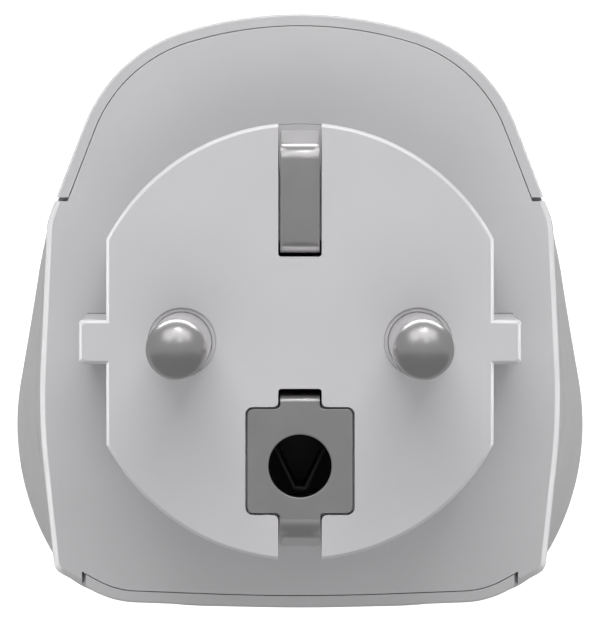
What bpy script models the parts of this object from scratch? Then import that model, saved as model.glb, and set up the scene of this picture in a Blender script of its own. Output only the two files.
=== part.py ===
"""Plug-in power meter: a compact earthed plug-through socket with metering inside.

Lengths below are millimetres; the helpers turn them into metres.
+Z is up, the plug pins point along -Y and the outlet opens along +Y.
The origin is midway between the pins, on the plug's face.
"""
import math

import bmesh
import bpy
from mathutils import Matrix, Vector

MM = 0.001

# Fits between neighbours
SEAM_GAP = 0.2
LIP_SEAM = 0.15
SLIT_GAP = 0.33
FIT_GAP = 0.3
WELD_GAP = 0.1
RUN_GAP = 0.08

# Plug
PLUG_RADIUS = 17.65
PLUG_FLAT = 15.6
PLUG_TAB = 17.8
PLUG_TAB_HEIGHT = 3.57
PLUG_DEPTH = 18.0
PLUG_RIM = 0.5
NOTCH_WIDTH = 3.5
NOTCH_TOP_END = 6.85
NOTCH_DEPTH = 16.0
FLANGE_RADIUS = 18.9
FLANGE_THICKNESS = 1.6
PIN_PITCH = 19.0
PIN_DIAMETER = 4.8
PIN_LENGTH = 19.0
PIN_SHANK = 3.6
PIN_NECK = 2.0
PIN_RING = 5.46

# Earth parts of the plug
CLIP_WIDTH = 3.2
CLIP_THICKNESS = 0.7
CLIP_RECESS = 0.35
CLIP_CREST = 17.2
CLIP_CREST_Y = 9.0
CLIP_ROOT = 15.7
PLATE_WIDTH = 8.5
PLATE_TOP = -5.38
PLATE_BOTTOM = -13.79
PLATE_TAB_TOP = -4.25
EARTH_HOLE = 5.06
EARTH_HOLE_Z = -10.0

# Housing outline at the rear face: half of it from top to bottom, x, z and corner radius
REAR_TOP = 28.3
REAR_HALF_WIDTH = 21.95
REAR_BOTTOM = 23.0
REAR_CORNERS = (
    (0.0, REAR_TOP, 33.0),
    (15.75, 23.6, 13.2),
    (21.2, 9.5, 4.0),
    (REAR_HALF_WIDTH, -6.9, 55.0),
    (20.6, -19.75, 1.0),
    (15.75, -22.4, 8.1),
    (0.0, -REAR_BOTTOM, 200.0),
)

# Housing outline where it bulges widest
FRONT_TOP = 27.5
FRONT_HALF_WIDTH = 26.15
FRONT_BOTTOM = 24.9
FRONT_CORNERS = (
    (0.0, FRONT_TOP, 33.0),
    (15.4, 23.6, 13.6),
    (22.75, 6.6, 20.0),
    (FRONT_HALF_WIDTH, -13.1, 22.4),
    (19.9, -23.5, 7.0),
    (9.5, -24.75, 50.0),
    (0.0, -FRONT_BOTTOM, 200.0),
)
CORNER_STEPS = (8, 7, 3, 4, 5, 4, 3)

# Housing shells
HOUSING_DEPTH = 40.0
BULGE_DEPTH = 25.0
HOUSING_WALL = 1.7
FRONT_EDGE_RADIUS = 1.8
REAR_EDGE_RADIUS = 0.45
COVER_PLATE = 2.2
COVER_SKIRT = 6.0
COVER_WALL = 2.6
LIP_THICKNESS = 1.0
LIP_TOP_END = 11.2
LIP_BOTTOM_END = 18.3

# Outlet
OUTLET_Z = -2.0
OUTLET_RADIUS = 19.6
OUTLET_WALL = 1.0
OUTLET_DEPTH = 17.5
OUTLET_FLOOR = 1.8
OUTLET_HOLE = 5.8
RIB_REACH = 3.3
RIB_SLOT = 5.2
RIB_HEIGHT = 3.2
OUTLET_CLIP_WIDTH = 6.0
OUTLET_CLIP_THICKNESS = 0.6
OUTLET_CLIP_INSET = 1.0
OUTLET_CLIP_BOW = 1.7
CONTACT_LENGTH = 9.6
CONTACT_THICKNESS = 0.8
CONTACT_INNER = 5.0
CUP_SCREW_X = 16.4
CUP_SCREW_Z = -19.0
CUP_SCREW_SHANK = 1.8
CUP_SCREW_HEAD = 3.8
BOSS_DIAMETER = 4.4

# Child shutter
POST_DIAMETER = 4.0
SHUTTER_THICKNESS = 1.7
SHUTTER_WIDTH = 6.4
SHUTTER_REACH = 12.7
SHUTTER_HUB = 8.4
RETAINER_DIAMETER = 6.6
RETAINER_THICKNESS = 0.8
SPRING_WIRE = 0.4
SPRING_RADIUS = 4.4

# Earth link, boards and straps
LINK_WIDTH = 4.0
LINK_THICKNESS = 0.8
LINK_TOP = 20.4
LINK_SPREAD = 1.0
STRAP_WIDTH = 3.0
STRAP_THICKNESS = 0.8
STRAP_TOP = 6.6
BOARD_THICKNESS = 1.6
BOARD_MARGIN = 1.0
BOARD_TIP_HOLE = 6.6
RELAY_SIZE = (17.0, 9.4, 10.6)
RELAY_BOTTOM = 8.3
FILM_SIZE = (18.0, 9.0, 5.2)
FILM_GAP = 0.9
CHIP_GAP = 2.6
CHIP_HEIGHT = 3.9
CONTROL_BACK = 9.3
CONTROL_HALF_WIDTH = 10.6
CONTROL_BOTTOM = 19.0
CONTROL_TOP = 22.2
CONTROL_THICKNESS = 1.0

# Button and light
BUTTON_Z = 21.6
BUTTON_HALF_LENGTH = 4.5
BUTTON_HALF_HEIGHT = 2.0
BUTTON_PROUD = 0.5
BUTTON_FLANGE = 0.5
BUTTON_TRAVEL = 0.5
PLUNGER_DIAMETER = 1.8
LIGHT_X = 9.2
LIGHT_Z = 20.3
LIGHT_DIAMETER = 2.4

# Levels along the depth that follow from the sizes above
REAR_Y = PLUG_DEPTH
PLATE_IN_Y = REAR_Y + COVER_PLATE
FLANGE_Y = PLATE_IN_Y + SEAM_GAP
FLANGE_END_Y = FLANGE_Y + FLANGE_THICKNESS
LINK_Y = FLANGE_END_Y + 0.6
BOARD_Y = LINK_Y + LINK_THICKNESS + 1.2
BOARD_END_Y = BOARD_Y + BOARD_THICKNESS
PARTS_Y = BOARD_END_Y + SEAM_GAP
FRONT_Y = REAR_Y + HOUSING_DEPTH
SEAT_Y = FRONT_Y - OUTLET_DEPTH
FLOOR_Y = SEAT_Y - OUTLET_FLOOR
WALL_IN_Y = FRONT_Y - HOUSING_WALL
CONTROL_Y = WALL_IN_Y - CONTROL_BACK
SKIRT_END_Y = REAR_Y + COVER_SKIRT
SHUTTER_END_Y = FLOOR_Y - FIT_GAP
SHUTTER_Y = SHUTTER_END_Y - SHUTTER_THICKNESS
SPRING_Y = SHUTTER_Y - SPRING_WIRE / 2 - 0.15
RETAINER_END_Y = SPRING_Y - SPRING_WIRE / 2 - 0.15
CONTACT_END_Y = SHUTTER_Y - 0.5
PIN_X = PIN_PITCH / 2
OUTLET_CLIP_ROOT = OUTLET_RADIUS - OUTLET_CLIP_INSET
OUTLET_CLIP_CREST = OUTLET_CLIP_ROOT - OUTLET_CLIP_BOW
LINK_BOTTOM = OUTLET_Z - OUTLET_CLIP_ROOT + LINK_SPREAD
FILM_TOP = LINK_BOTTOM + LINK_THICKNESS + FILM_GAP + FILM_SIZE[2]
CHIP_Z = FILM_TOP + CHIP_GAP
CLIP_FRONT_Y = CLIP_RECESS + CLIP_THICKNESS / 2
STRAP_Y = FLANGE_Y - 1.4

COLOURS = {
    "shell_plastic": ((0.56, 0.56, 0.57), 0.42, 0.0),
    "plug_plastic": ((0.60, 0.60, 0.61), 0.40, 0.0),
    "outlet_plastic": ((0.60, 0.60, 0.61), 0.40, 0.0),
    "button_plastic": ((0.50, 0.50, 0.51), 0.35, 0.0),
    "clear_plastic": ((0.80, 0.86, 0.90), 0.15, 0.0),
    "shutter_plastic": ((0.75, 0.75, 0.74), 0.45, 0.0),
    "nickel_plate": ((0.62, 0.61, 0.60), 0.30, 1.0),
    "spring_steel": ((0.50, 0.50, 0.50), 0.35, 1.0),
    "brass_sheet": ((0.72, 0.55, 0.27), 0.35, 1.0),
    "circuit_board": ((0.05, 0.22, 0.10), 0.50, 0.0),
    "relay_case": ((0.03, 0.08, 0.22), 0.45, 0.0),
    "film_case": ((0.68, 0.52, 0.10), 0.45, 0.0),
    "dark_part": ((0.03, 0.03, 0.03), 0.50, 0.0),
    "ceramic_coat": ((0.05, 0.15, 0.40), 0.40, 0.0),
    "shield_can": ((0.60, 0.60, 0.60), 0.35, 1.0),
    "cable_jacket": ((0.75, 0.75, 0.72), 0.55, 0.0),
}

for old in list(bpy.data.objects):
    bpy.data.objects.remove(old, do_unlink=True)

PARTS = bpy.data.collections.new("plug_in_power_meter")
CUTTERS = bpy.data.collections.new("cutters")
bpy.context.scene.collection.children.link(PARTS)
bpy.context.scene.collection.children.link(CUTTERS)


def make_material(name):
    """A Principled material with the piece's colour."""
    colour, roughness, metallic = COLOURS[name]
    material = bpy.data.materials.new(name)
    material.use_nodes = True
    shader = material.node_tree.nodes["Principled BSDF"]
    shader.inputs["Base Color"].default_value = (*colour, 1.0)
    shader.inputs["Roughness"].default_value = roughness
    shader.inputs["Metallic"].default_value = metallic
    return material


MATERIALS = {name: make_material(name) for name in COLOURS}


def place(name, mesh, material):
    """Put a mesh into the scene as a part, or as a tool when it has no material."""
    thing = bpy.data.objects.new(name, mesh)
    if material:
        mesh.materials.clear()
        mesh.materials.append(MATERIALS[material])
        PARTS.objects.link(thing)
    else:
        thing.hide_render = True
        thing.display_type = "WIRE"
        CUTTERS.objects.link(thing)
    return thing


def turn_to(axis):
    """Matrix that takes a shape drawn across local Z to one drawn across the axis."""
    if axis == "Y":
        return Matrix(((1, 0, 0, 0), (0, 0, -1, 0), (0, 1, 0, 0), (0, 0, 0, 1)))
    if axis == "X":
        return Matrix(((0, 0, 1, 0), (1, 0, 0, 0), (0, 1, 0, 0), (0, 0, 0, 1)))
    return Matrix.Identity(4)


def middle(axis, low, high):
    """Point halfway along the axis, in metres."""
    half = (low + high) / 2 * MM
    return Vector((half if axis == "X" else 0, half if axis == "Y" else 0, half if axis == "Z" else 0))


def prism(name, outline, low, high, axis="Y", material=None):
    """Solid with a flat outline across the axis, from low to high along it."""
    curve = bpy.data.curves.new(name, "CURVE")
    curve.dimensions = "2D"
    curve.fill_mode = "BOTH"
    curve.extrude = abs(high - low) / 2 * MM
    line = curve.splines.new("POLY")
    line.points.add(len(outline) - 1)
    line.use_cyclic_u = True
    for point, (u, v) in zip(line.points, outline):
        point.co = (u * MM, v * MM, 0, 1)
    drawn = bpy.data.objects.new(name + "_curve", curve)
    bpy.context.scene.collection.objects.link(drawn)
    bpy.context.view_layer.update()
    graph = bpy.context.evaluated_depsgraph_get()
    mesh = bpy.data.meshes.new_from_object(drawn.evaluated_get(graph))
    bpy.data.objects.remove(drawn, do_unlink=True)
    form = bmesh.new()
    form.from_mesh(mesh)
    bmesh.ops.remove_doubles(form, verts=form.verts, dist=0.000001)
    bmesh.ops.recalc_face_normals(form, faces=form.faces)
    form.to_mesh(mesh)
    form.free()
    mesh.name = name
    mesh.transform(Matrix.Translation(middle(axis, low, high)) @ turn_to(axis))
    return place(name, mesh, material)


def rod(name, radius, low, high, at=(0.0, 0.0), axis="Y", sides=32, material=None):
    """Round bar along the axis; at holds its two other coordinates."""
    form = bmesh.new()
    bmesh.ops.create_cone(form, cap_ends=True, segments=sides, radius1=radius * MM,
                          radius2=radius * MM, depth=abs(high - low) * MM)
    mesh = bpy.data.meshes.new(name)
    form.to_mesh(mesh)
    form.free()
    u, v = at[0] * MM, at[1] * MM
    side = {"Y": Vector((u, 0, v)), "X": Vector((0, u, v)), "Z": Vector((u, v, 0))}[axis]
    mesh.transform(Matrix.Translation(middle(axis, low, high) + side) @ turn_to(axis))
    thing = place(name, mesh, material)
    if material:
        mesh.shade_smooth()
        mesh.set_sharp_from_angle(angle=math.radians(35))
    return thing


def box(name, x, y, z, material=None):
    """Rectangular block; x, y and z are pairs of lower and upper limits."""
    form = bmesh.new()
    bmesh.ops.create_cube(form, size=1.0)
    size = Matrix.Diagonal(((x[1] - x[0]) * MM, (y[1] - y[0]) * MM, (z[1] - z[0]) * MM, 1))
    centre = Vector((x[0] + x[1], y[0] + y[1], z[0] + z[1])) * MM / 2
    bmesh.ops.transform(form, matrix=Matrix.Translation(centre) @ size, verts=form.verts)
    mesh = bpy.data.meshes.new(name)
    form.to_mesh(mesh)
    form.free()
    return place(name, mesh, material)


def turned(name, profile, at, steps=36, material=None):
    """Solid turned about an axis along Y; profile is radius, y pairs from low to high y."""
    mesh = bpy.data.meshes.new(name)
    points = [(radius * MM, 0, -y * MM) for radius, y in profile]
    edges = [(i, i + 1) for i in range(len(points) - 1)]
    mesh.from_pydata(points, edges, [])
    thing = place(name, mesh, material)
    thing.matrix_world = Matrix.Translation((at[0] * MM, 0, at[1] * MM)) @ turn_to("Y")
    screw = thing.modifiers.new("Screw", "SCREW")
    screw.axis = "Z"
    screw.steps = steps
    screw.render_steps = steps
    screw.use_merge_vertices = True
    screw.merge_threshold = 0.00001
    screw.use_smooth_shade = True
    return thing


def combine(target, tool, how):
    """Add an exact Boolean to the target; the tool leaves the parts."""
    if tool.name in PARTS.objects:
        PARTS.objects.unlink(tool)
        CUTTERS.objects.link(tool)
        tool.hide_render = True
        tool.display_type = "WIRE"
    step = target.modifiers.new(tool.name, "BOOLEAN")
    step.operation = how
    step.solver = "EXACT"
    step.object = tool


def cut(target, *tools):
    for tool in tools:
        combine(target, tool, "DIFFERENCE")


def fuse(target, *tools):
    for tool in tools:
        combine(target, tool, "UNION")


def round_edges(target, width, segments=2, angle=40):
    """Bevel on the edges sharper than the angle."""
    bevel = target.modifiers.new("Bevel", "BEVEL")
    bevel.width = width * MM
    bevel.segments = segments
    bevel.limit_method = "ANGLE"
    bevel.angle_limit = math.radians(angle)


def origin_at(thing, x, y, z):
    """Move the object's origin to a point without moving its shape."""
    point = Vector((x, y, z)) * MM
    thing.data.transform(Matrix.Translation(-point))
    thing.location = point


def arc(centre, radius, start, end, steps):
    """Points on an arc, angles in degrees."""
    points = []
    for i in range(steps + 1):
        angle = math.radians(start + (end - start) * i / steps)
        points.append((centre[0] + radius * math.cos(angle), centre[1] + radius * math.sin(angle)))
    return points


def fillet(before, corner, after, radius, steps):
    """Points of the arc that rounds one corner of a path."""
    here = Vector(corner)
    back = (Vector(before) - here).normalized()
    ahead = (Vector(after) - here).normalized()
    half = back.angle(ahead) / 2
    run = radius / math.tan(half)
    centre = here + (back + ahead).normalized() * (radius / math.sin(half))
    first = here + back * run - centre
    turn = math.pi - 2 * half
    if back.x * ahead.y - back.y * ahead.x > 0:
        turn = -turn
    points = []
    for i in range(steps + 1):
        angle = turn * i / steps
        cosine, sine = math.cos(angle), math.sin(angle)
        points.append((centre.x + first.x * cosine - first.y * sine,
                       centre.y + first.x * sine + first.y * cosine))
    return points


def ribbon(path, thickness, steps=4):
    """Closed outline of a bent strip; path holds u, v and bend radius of its middle line."""
    line = [path[0][:2]]
    for before, here, after in zip(path, path[1:], path[2:]):
        line += fillet(before[:2], here[:2], after[:2], here[2], steps)
    line.append(path[-1][:2])
    left, right = [], []
    for i, point in enumerate(line):
        here = Vector(point)
        into = (here - Vector(line[i - 1])).normalized() if i else None
        out = (Vector(line[i + 1]) - here).normalized() if i + 1 < len(line) else into
        into = into or out
        along = (into + out).normalized()
        reach = thickness / 2 / max(0.3, along.dot(out))
        side = Vector((-along.y, along.x)) * reach
        left.append(tuple(here + side))
        right.append(tuple(here - side))
    return left + right[::-1]


def mirror_half(corners):
    """Whole outline from the half that runs from the top to the bottom."""
    return list(corners) + [(-x, z, r) for x, z, r in reversed(corners[1:-1])]


def inset_corners(corners, inset):
    """Corners of the outline moved inwards by the inset."""
    moved = []
    count = len(corners)
    for i in range(count):
        before, here, after = (Vector(corners[(i + k) % count][:2]) for k in (-1, 0, 1))
        into = (here - before).normalized()
        out = (after - here).normalized()
        normal_in = Vector((into.y, -into.x))
        normal_out = Vector((out.y, -out.x))
        middle_normal = (normal_in + normal_out).normalized()
        shift = middle_normal * (inset / middle_normal.dot(normal_in))
        moved.append((here.x + shift.x, here.y + shift.y, max(0.5, corners[i][2] - inset)))
    return moved


def rounded(half, inset):
    """Points of a rounded outline; every call gives the same count of points."""
    corners = inset_corners(mirror_half(half), inset)
    steps = list(CORNER_STEPS) + list(CORNER_STEPS[-2:0:-1])
    count = len(corners)
    points = []
    for i in range(count):
        before, here, after = (corners[(i + k) % count] for k in (-1, 0, 1))
        points += fillet(before[:2], here[:2], after[:2], here[2], steps[i])
    return points


def swell(y):
    """How far the section has grown from the rear outline to the bulged one."""
    t = min(1.0, max(0.0, (y - REAR_Y) / BULGE_DEPTH))
    return 0.5 * (t + t * t * (3 - 2 * t))


def section(y, inset):
    """Housing section at a depth."""
    rear = rounded(REAR_CORNERS, inset)
    front = rounded(FRONT_CORNERS, inset)
    mix = swell(y)
    return [(a[0] + (b[0] - a[0]) * mix, a[1] + (b[1] - a[1]) * mix) for a, b in zip(rear, front)]


def loft(name, rings, material=None):
    """Closed solid through rings of matching points; each ring is a depth and its outline."""
    form = bmesh.new()
    rows = [[form.verts.new((x * MM, y * MM, z * MM)) for x, z in ring] for y, ring in rings]
    count = len(rows[0])
    for low, high in zip(rows, rows[1:]):
        for i in range(count):
            k = (i + 1) % count
            form.faces.new((low[i], low[k], high[k], high[i]))
    form.faces.new(rows[0])
    form.faces.new(rows[-1])
    bmesh.ops.recalc_face_normals(form, faces=form.faces)
    mesh = bpy.data.meshes.new(name)
    form.to_mesh(mesh)
    form.free()
    thing = place(name, mesh, material)
    if material:
        mesh.shade_smooth()
        mesh.set_sharp_from_angle(angle=math.radians(30))
    return thing


def plug_section(grow):
    """Outline of the plug: a circle with two flats and a tab on each flat."""
    radius = PLUG_RADIUS + grow
    flat = PLUG_FLAT + grow
    tab = PLUG_TAB + grow
    height = PLUG_TAB_HEIGHT / 2 + grow
    start = math.degrees(math.acos(flat / radius))
    points = arc((0, 0), radius, start, 180 - start, 22)
    points += [(-flat, height), (-tab, height), (-tab, -height), (-flat, -height)]
    points += arc((0, 0), radius, 180 + start, 360 - start, 22)
    points += [(flat, -height), (tab, -height), (tab, height), (flat, height)]
    return points


def stadium(centre, half_length, half_height, steps=8):
    """Long slot outline, its length along the first coordinate."""
    reach = half_length - half_height
    right = arc((centre[0] + reach, centre[1]), half_height, -90, 90, steps)
    return right + arc((centre[0] - reach, centre[1]), half_height, 90, 270, steps)


def shell_rings(inset, levels):
    return [(y, section(y, inset)) for y in levels]


def body_rings():
    """Outer surface of the closed housing, with its rounded rear and front edges."""
    rings = []
    for share in (0.0, 0.4, 1.0):
        angle = share * math.pi / 2
        drop = REAR_EDGE_RADIUS * (1 - math.sin(angle))
        rings.append((REAR_Y + REAR_EDGE_RADIUS * (1 - math.cos(angle)), drop))
    for share in (0.24, 0.48, 0.72, 1.0):
        rings.append((REAR_Y + BULGE_DEPTH * share, 0.0))
    for share in (0.0, 0.35, 0.7, 1.0):
        angle = share * math.pi / 2
        drop = FRONT_EDGE_RADIUS * (1 - math.cos(angle))
        rings.append((FRONT_Y - FRONT_EDGE_RADIUS * (1 - math.sin(angle)), drop))
    return [(y, section(y, inset)) for y, inset in rings]


def cover_region(seam, slit):
    """Outline of the space the rear cover may fill: inside the lip, open past its ends."""
    points = rounded(REAR_CORNERS, LIP_THICKNESS - seam)
    half = [point for point in points[:len(points) // 2 + 3] if point[0] > 0.01]
    high = LIP_TOP_END + slit
    side = LIP_BOTTOM_END - slit
    line = []
    for a, b in zip(half, half[1:]):
        if a[1] >= high:
            line.append(a)
            if b[1] < high:
                share = (a[1] - high) / (a[1] - b[1])
                line.append((a[0] + (b[0] - a[0]) * share, high))
                line += [(34.0, high), (34.0, -34.0), (side, -34.0)]
        elif a[1] < 0 and b[0] < side:
            if a[0] > side:
                share = (a[0] - side) / (a[0] - b[0])
                line.append((side, a[1] + (b[1] - a[1]) * share))
            line.append(b)
    return line + [(-x, z) for x, z in reversed(line)]


# Housing shells
rear_cover = loft("rear_cover", body_rings(), "shell_plastic")
cover_keep = prism("cover_keep", cover_region(0.0, 0.0), REAR_Y - 2, SKIRT_END_Y)
combine(rear_cover, cover_keep, "INTERSECT")
cut(rear_cover, loft("cover_hollow", shell_rings(COVER_WALL, (PLATE_IN_Y, SKIRT_END_Y, SKIRT_END_Y + 4))))
cut(rear_cover, prism("cover_opening", plug_section(SEAM_GAP), REAR_Y - 2, PLATE_IN_Y + 2))

front_housing = loft("front_housing", body_rings(), "shell_plastic")
cut(front_housing, prism("cover_space", cover_region(LIP_SEAM, SLIT_GAP), REAR_Y - 2, SKIRT_END_Y + FIT_GAP))
hollow_levels = [SKIRT_END_Y - 1, REAR_Y + BULGE_DEPTH * 0.48, REAR_Y + BULGE_DEPTH * 0.72,
                 REAR_Y + BULGE_DEPTH, WALL_IN_Y]
cut(front_housing, loft("housing_hollow", shell_rings(HOUSING_WALL, hollow_levels)))
outlet_outer = OUTLET_RADIUS + OUTLET_WALL
for side in (-1, 1):
    post = rod(f"housing_boss_{side + 1}", BOSS_DIAMETER / 2, FLOOR_Y + 3.6, FRONT_Y - 1.0,
               (side * CUP_SCREW_X, CUP_SCREW_Z), sides=16)
    cut(post, rod(f"boss_bore_{side + 1}", CUP_SCREW_SHANK / 2 + FIT_GAP, FLOOR_Y + 3,
                  FLOOR_Y + 14, (side * CUP_SCREW_X, CUP_SCREW_Z), sides=12))
    fuse(front_housing, post)
cut(front_housing, rod("outlet_opening", outlet_outer + SEAM_GAP, WALL_IN_Y - 16, FRONT_Y + 2,
                       (0, OUTLET_Z), sides=64))
cut(front_housing, prism("button_opening",
                         stadium((0, BUTTON_Z), BUTTON_HALF_LENGTH + SEAM_GAP, BUTTON_HALF_HEIGHT + SEAM_GAP),
                         WALL_IN_Y - 1, FRONT_Y + 2))
cut(front_housing, rod("light_opening", LIGHT_DIAMETER / 2 + SEAM_GAP, WALL_IN_Y - 1, FRONT_Y + 2,
                       (LIGHT_X, LIGHT_Z), sides=16))

# Plug body: rounded rim, flange inside the cover, four weight-saving pockets
rim = [(PLUG_RIM * (1 - math.cos(a)), -PLUG_RIM * (1 - math.sin(a))) for a in (0.0, 0.7, math.pi / 2)]
plug_rings = [(y, plug_section(drop)) for y, drop in rim] + [(FLANGE_END_Y, plug_section(0))]
plug_body = loft("plug_body", plug_rings, "plug_plastic")
fuse(plug_body, rod("plug_flange", FLANGE_RADIUS, FLANGE_Y, FLANGE_END_Y, sides=64))
half_notch = NOTCH_WIDTH / 2
cut(plug_body, box("top_notch", (-half_notch, half_notch), (-2, NOTCH_DEPTH), (CLIP_ROOT - 2.2, 30)))
cut(plug_body, box("top_face_slot", (-half_notch, half_notch), (-2, CLIP_FRONT_Y + 1.1),
                   (NOTCH_TOP_END, CLIP_ROOT)))
tail_top = NOTCH_TOP_END + FIT_GAP
cut(plug_body, box("top_tail_slot", (-half_notch, half_notch), (0.5, FLANGE_END_Y + 1),
                   (NOTCH_TOP_END, tail_top + CLIP_THICKNESS + FIT_GAP)))
cut(plug_body, box("bottom_notch", (-half_notch, half_notch), (-2, NOTCH_DEPTH), (-30, 2.2 - CLIP_ROOT)))
cut(plug_body, box("bottom_face_slot", (-half_notch, half_notch), (-2, CLIP_FRONT_Y + 1.1),
                   (-CLIP_ROOT, PLATE_BOTTOM + 1)))
opening = PLATE_WIDTH / 2 + SEAM_GAP
plate_seat = prism("plate_seat", [(-opening, PLATE_BOTTOM - SEAM_GAP), (opening, PLATE_BOTTOM - SEAM_GAP),
                                  (opening, PLATE_TOP + SEAM_GAP), (-opening, PLATE_TOP + SEAM_GAP)],
                   -2, CLIP_FRONT_Y + 1.1)
cut(plug_body, plate_seat)
cut(plug_body, box("tab_slot", (-half_notch, half_notch), (-2, FLANGE_END_Y + 1),
                   (PLATE_TOP - 0.6, PLATE_TAB_TOP + CLIP_THICKNESS)))
earth_well = EARTH_HOLE / 2 + 0.7
cut(plug_body, box("earth_well", (-earth_well, earth_well), (0.5, FLANGE_END_Y + 1),
                   (EARTH_HOLE_Z - earth_well, EARTH_HOLE_Z + earth_well)))
pocket_inner = earth_well + 1.7
pocket_flat = PLUG_FLAT - 1.7
pocket_radius = PLUG_RADIUS - 1.7
pocket_low = PIN_DIAMETER / 2 + 2.0
start = math.degrees(math.acos(pocket_flat / pocket_radius))
end = math.degrees(math.acos(pocket_inner / pocket_radius))
pocket = [(pocket_inner, pocket_low), (pocket_flat, pocket_low)]
pocket += arc((0, 0), pocket_radius, start, end, 6)
for column in (-1, 1):
    for row in (-1, 1):
        outline = [(x * column, z * row) for x, z in pocket]
        cut(plug_body, prism(f"pocket_{column + 1}_{row + 1}", outline, 2.0, FLANGE_END_Y + 1))
    at = (column * PIN_X, 0)
    cut(plug_body, rod(f"pin_ring_{column + 1}", PIN_RING / 2, -1, 0.3, at, sides=40))
    cut(plug_body, rod(f"pin_bore_{column + 1}", PIN_DIAMETER / 2 + RUN_GAP, -1, 6.0 + RUN_GAP, at, sides=40))
    cut(plug_body, rod(f"shank_bore_{column + 1}", PIN_SHANK / 2 + RUN_GAP, 5, STRAP_Y + 1, at, sides=24))
    half = STRAP_WIDTH / 2 + FIT_GAP
    cut(plug_body, box(f"strap_pocket_{column + 1}", (at[0] - half, at[0] + half),
                       (STRAP_Y - FIT_GAP, FLANGE_END_Y + 1), (-half - 0.4, STRAP_TOP + FIT_GAP)))

# Plug pins: rounded tip, full contact length, shank and riveted neck
for name, side in (("pin_left", -1), ("pin_right", 1)):
    dome = PIN_DIAMETER / 2
    blunt = 1.4
    profile = [(0.0, -PIN_LENGTH)]
    for i in range(1, 5):
        angle = math.radians(90 * i / 4)
        profile.append((dome - blunt + blunt * math.sin(angle), -PIN_LENGTH + blunt * (1 - math.cos(angle))))
    profile += [(dome, 6.0), (PIN_SHANK / 2, 6.0), (PIN_SHANK / 2, STRAP_Y - WELD_GAP),
                (PIN_NECK / 2, STRAP_Y - WELD_GAP), (PIN_NECK / 2, STRAP_Y + STRAP_THICKNESS + 0.3),
                (0.0, STRAP_Y + STRAP_THICKNESS + 0.3)]
    turned(name, profile, (side * PIN_X, 0), 32, "nickel_plate")

# Straps from the pins to the main board
for name, side in (("strap_left", -1), ("strap_right", 1)):
    x = side * PIN_X
    half = STRAP_WIDTH / 2
    plane = STRAP_Y + STRAP_THICKNESS / 2
    top = STRAP_TOP - STRAP_THICKNESS / 2
    path = [(plane, -half - 0.2, 0), (plane, top, 0.5), (BOARD_END_Y + 0.8, top, 0)]
    strap = prism(name, ribbon(path, STRAP_THICKNESS, 3), x - half, x + half, "X", "brass_sheet")
    cut(strap, rod(f"neck_hole_{side + 1}", PIN_NECK / 2 + RUN_GAP, STRAP_Y - 1, STRAP_Y + 2, (x, 0), sides=16))


def clip_path(sign, inner_end, tail_end):
    """Middle line in y and z of an earth clip: rear hook, bowed contact, face run and tail."""
    half = CLIP_THICKNESS / 2
    crest = CLIP_CREST - half
    root = CLIP_ROOT - half
    path = [(NOTCH_DEPTH - 0.8, root - 0.9, 0), (CLIP_CREST_Y + 5.6, root - 0.5, 0.6)]
    path += [(CLIP_CREST_Y, crest, 3.5), (3.2, root + 0.15, 3.0), (CLIP_FRONT_Y, root, 0.75)]
    path += [(CLIP_FRONT_Y, inner_end, 0.5), (tail_end, inner_end, 0)]
    return [(y, z * sign, r) for y, z, r in path]


tail_end = LINK_Y - WELD_GAP
top_inner = tail_top + CLIP_THICKNESS / 2
half_clip = CLIP_WIDTH / 2
prism("earth_clip_top", ribbon(clip_path(1, top_inner, tail_end), CLIP_THICKNESS), -half_clip, half_clip,
      "X", "nickel_plate")
bottom_inner = -PLATE_TAB_TOP + CLIP_THICKNESS / 2
earth_clip_bottom = prism("earth_clip_bottom",
                          ribbon(clip_path(-1, bottom_inner, tail_end), CLIP_THICKNESS),
                          -half_clip, half_clip, "X", "nickel_plate")
half_plate = PLATE_WIDTH / 2
corner = 0.5
plate_corners = [(half_plate, PLATE_TOP), (half_plate, PLATE_BOTTOM), (-half_plate, PLATE_BOTTOM),
                 (-half_plate, PLATE_TOP)]
plate_line = []
for i in range(4):
    plate_line += fillet(plate_corners[i - 1], plate_corners[i], plate_corners[(i + 1) % 4], corner, 3)
fuse(earth_clip_bottom, prism("earth_plate", plate_line, CLIP_RECESS, CLIP_RECESS + CLIP_THICKNESS))
cut(earth_clip_bottom, rod("earth_hole", EARTH_HOLE / 2, -1, 3, (0, EARTH_HOLE_Z), sides=40))

# Leaf contact behind the earth hole
leaf_path = [(-2.3, EARTH_HOLE_Z + 1.7, 0), (-0.45, EARTH_HOLE_Z - 2.1, 0.25),
             (0.45, EARTH_HOLE_Z - 2.1, 0.25), (2.3, EARTH_HOLE_Z + 1.7, 0)]
earth_leaf = prism("earth_pin_socket", ribbon(leaf_path, 0.45, 3), 4.5, 15.0, "Y", "nickel_plate")
fuse(earth_leaf, box("leaf_back", (-2.6, 2.6), (14.6, 15.4), (EARTH_HOLE_Z - 2.9, EARTH_HOLE_Z + 2.4)))
fuse(earth_leaf, box("leaf_tail", (-1.2, 1.2), (15.0, tail_end), (EARTH_HOLE_Z - 2.3, EARTH_HOLE_Z - 1.5)))

# Earth link: one bent strip from the top arm to the bottom arm
arm_end = FLOOR_Y - 0.5
link_middle = LINK_Y + LINK_THICKNESS / 2
high = LINK_TOP - LINK_THICKNESS / 2
low = LINK_BOTTOM + LINK_THICKNESS / 2
link_path = [(arm_end, high, 0), (link_middle, high, 0.6), (link_middle, low, 0.6), (arm_end - 2, low, 0)]
prism("earth_link", ribbon(link_path, LINK_THICKNESS, 3), -LINK_WIDTH / 2, LINK_WIDTH / 2, "X", "brass_sheet")

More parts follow.
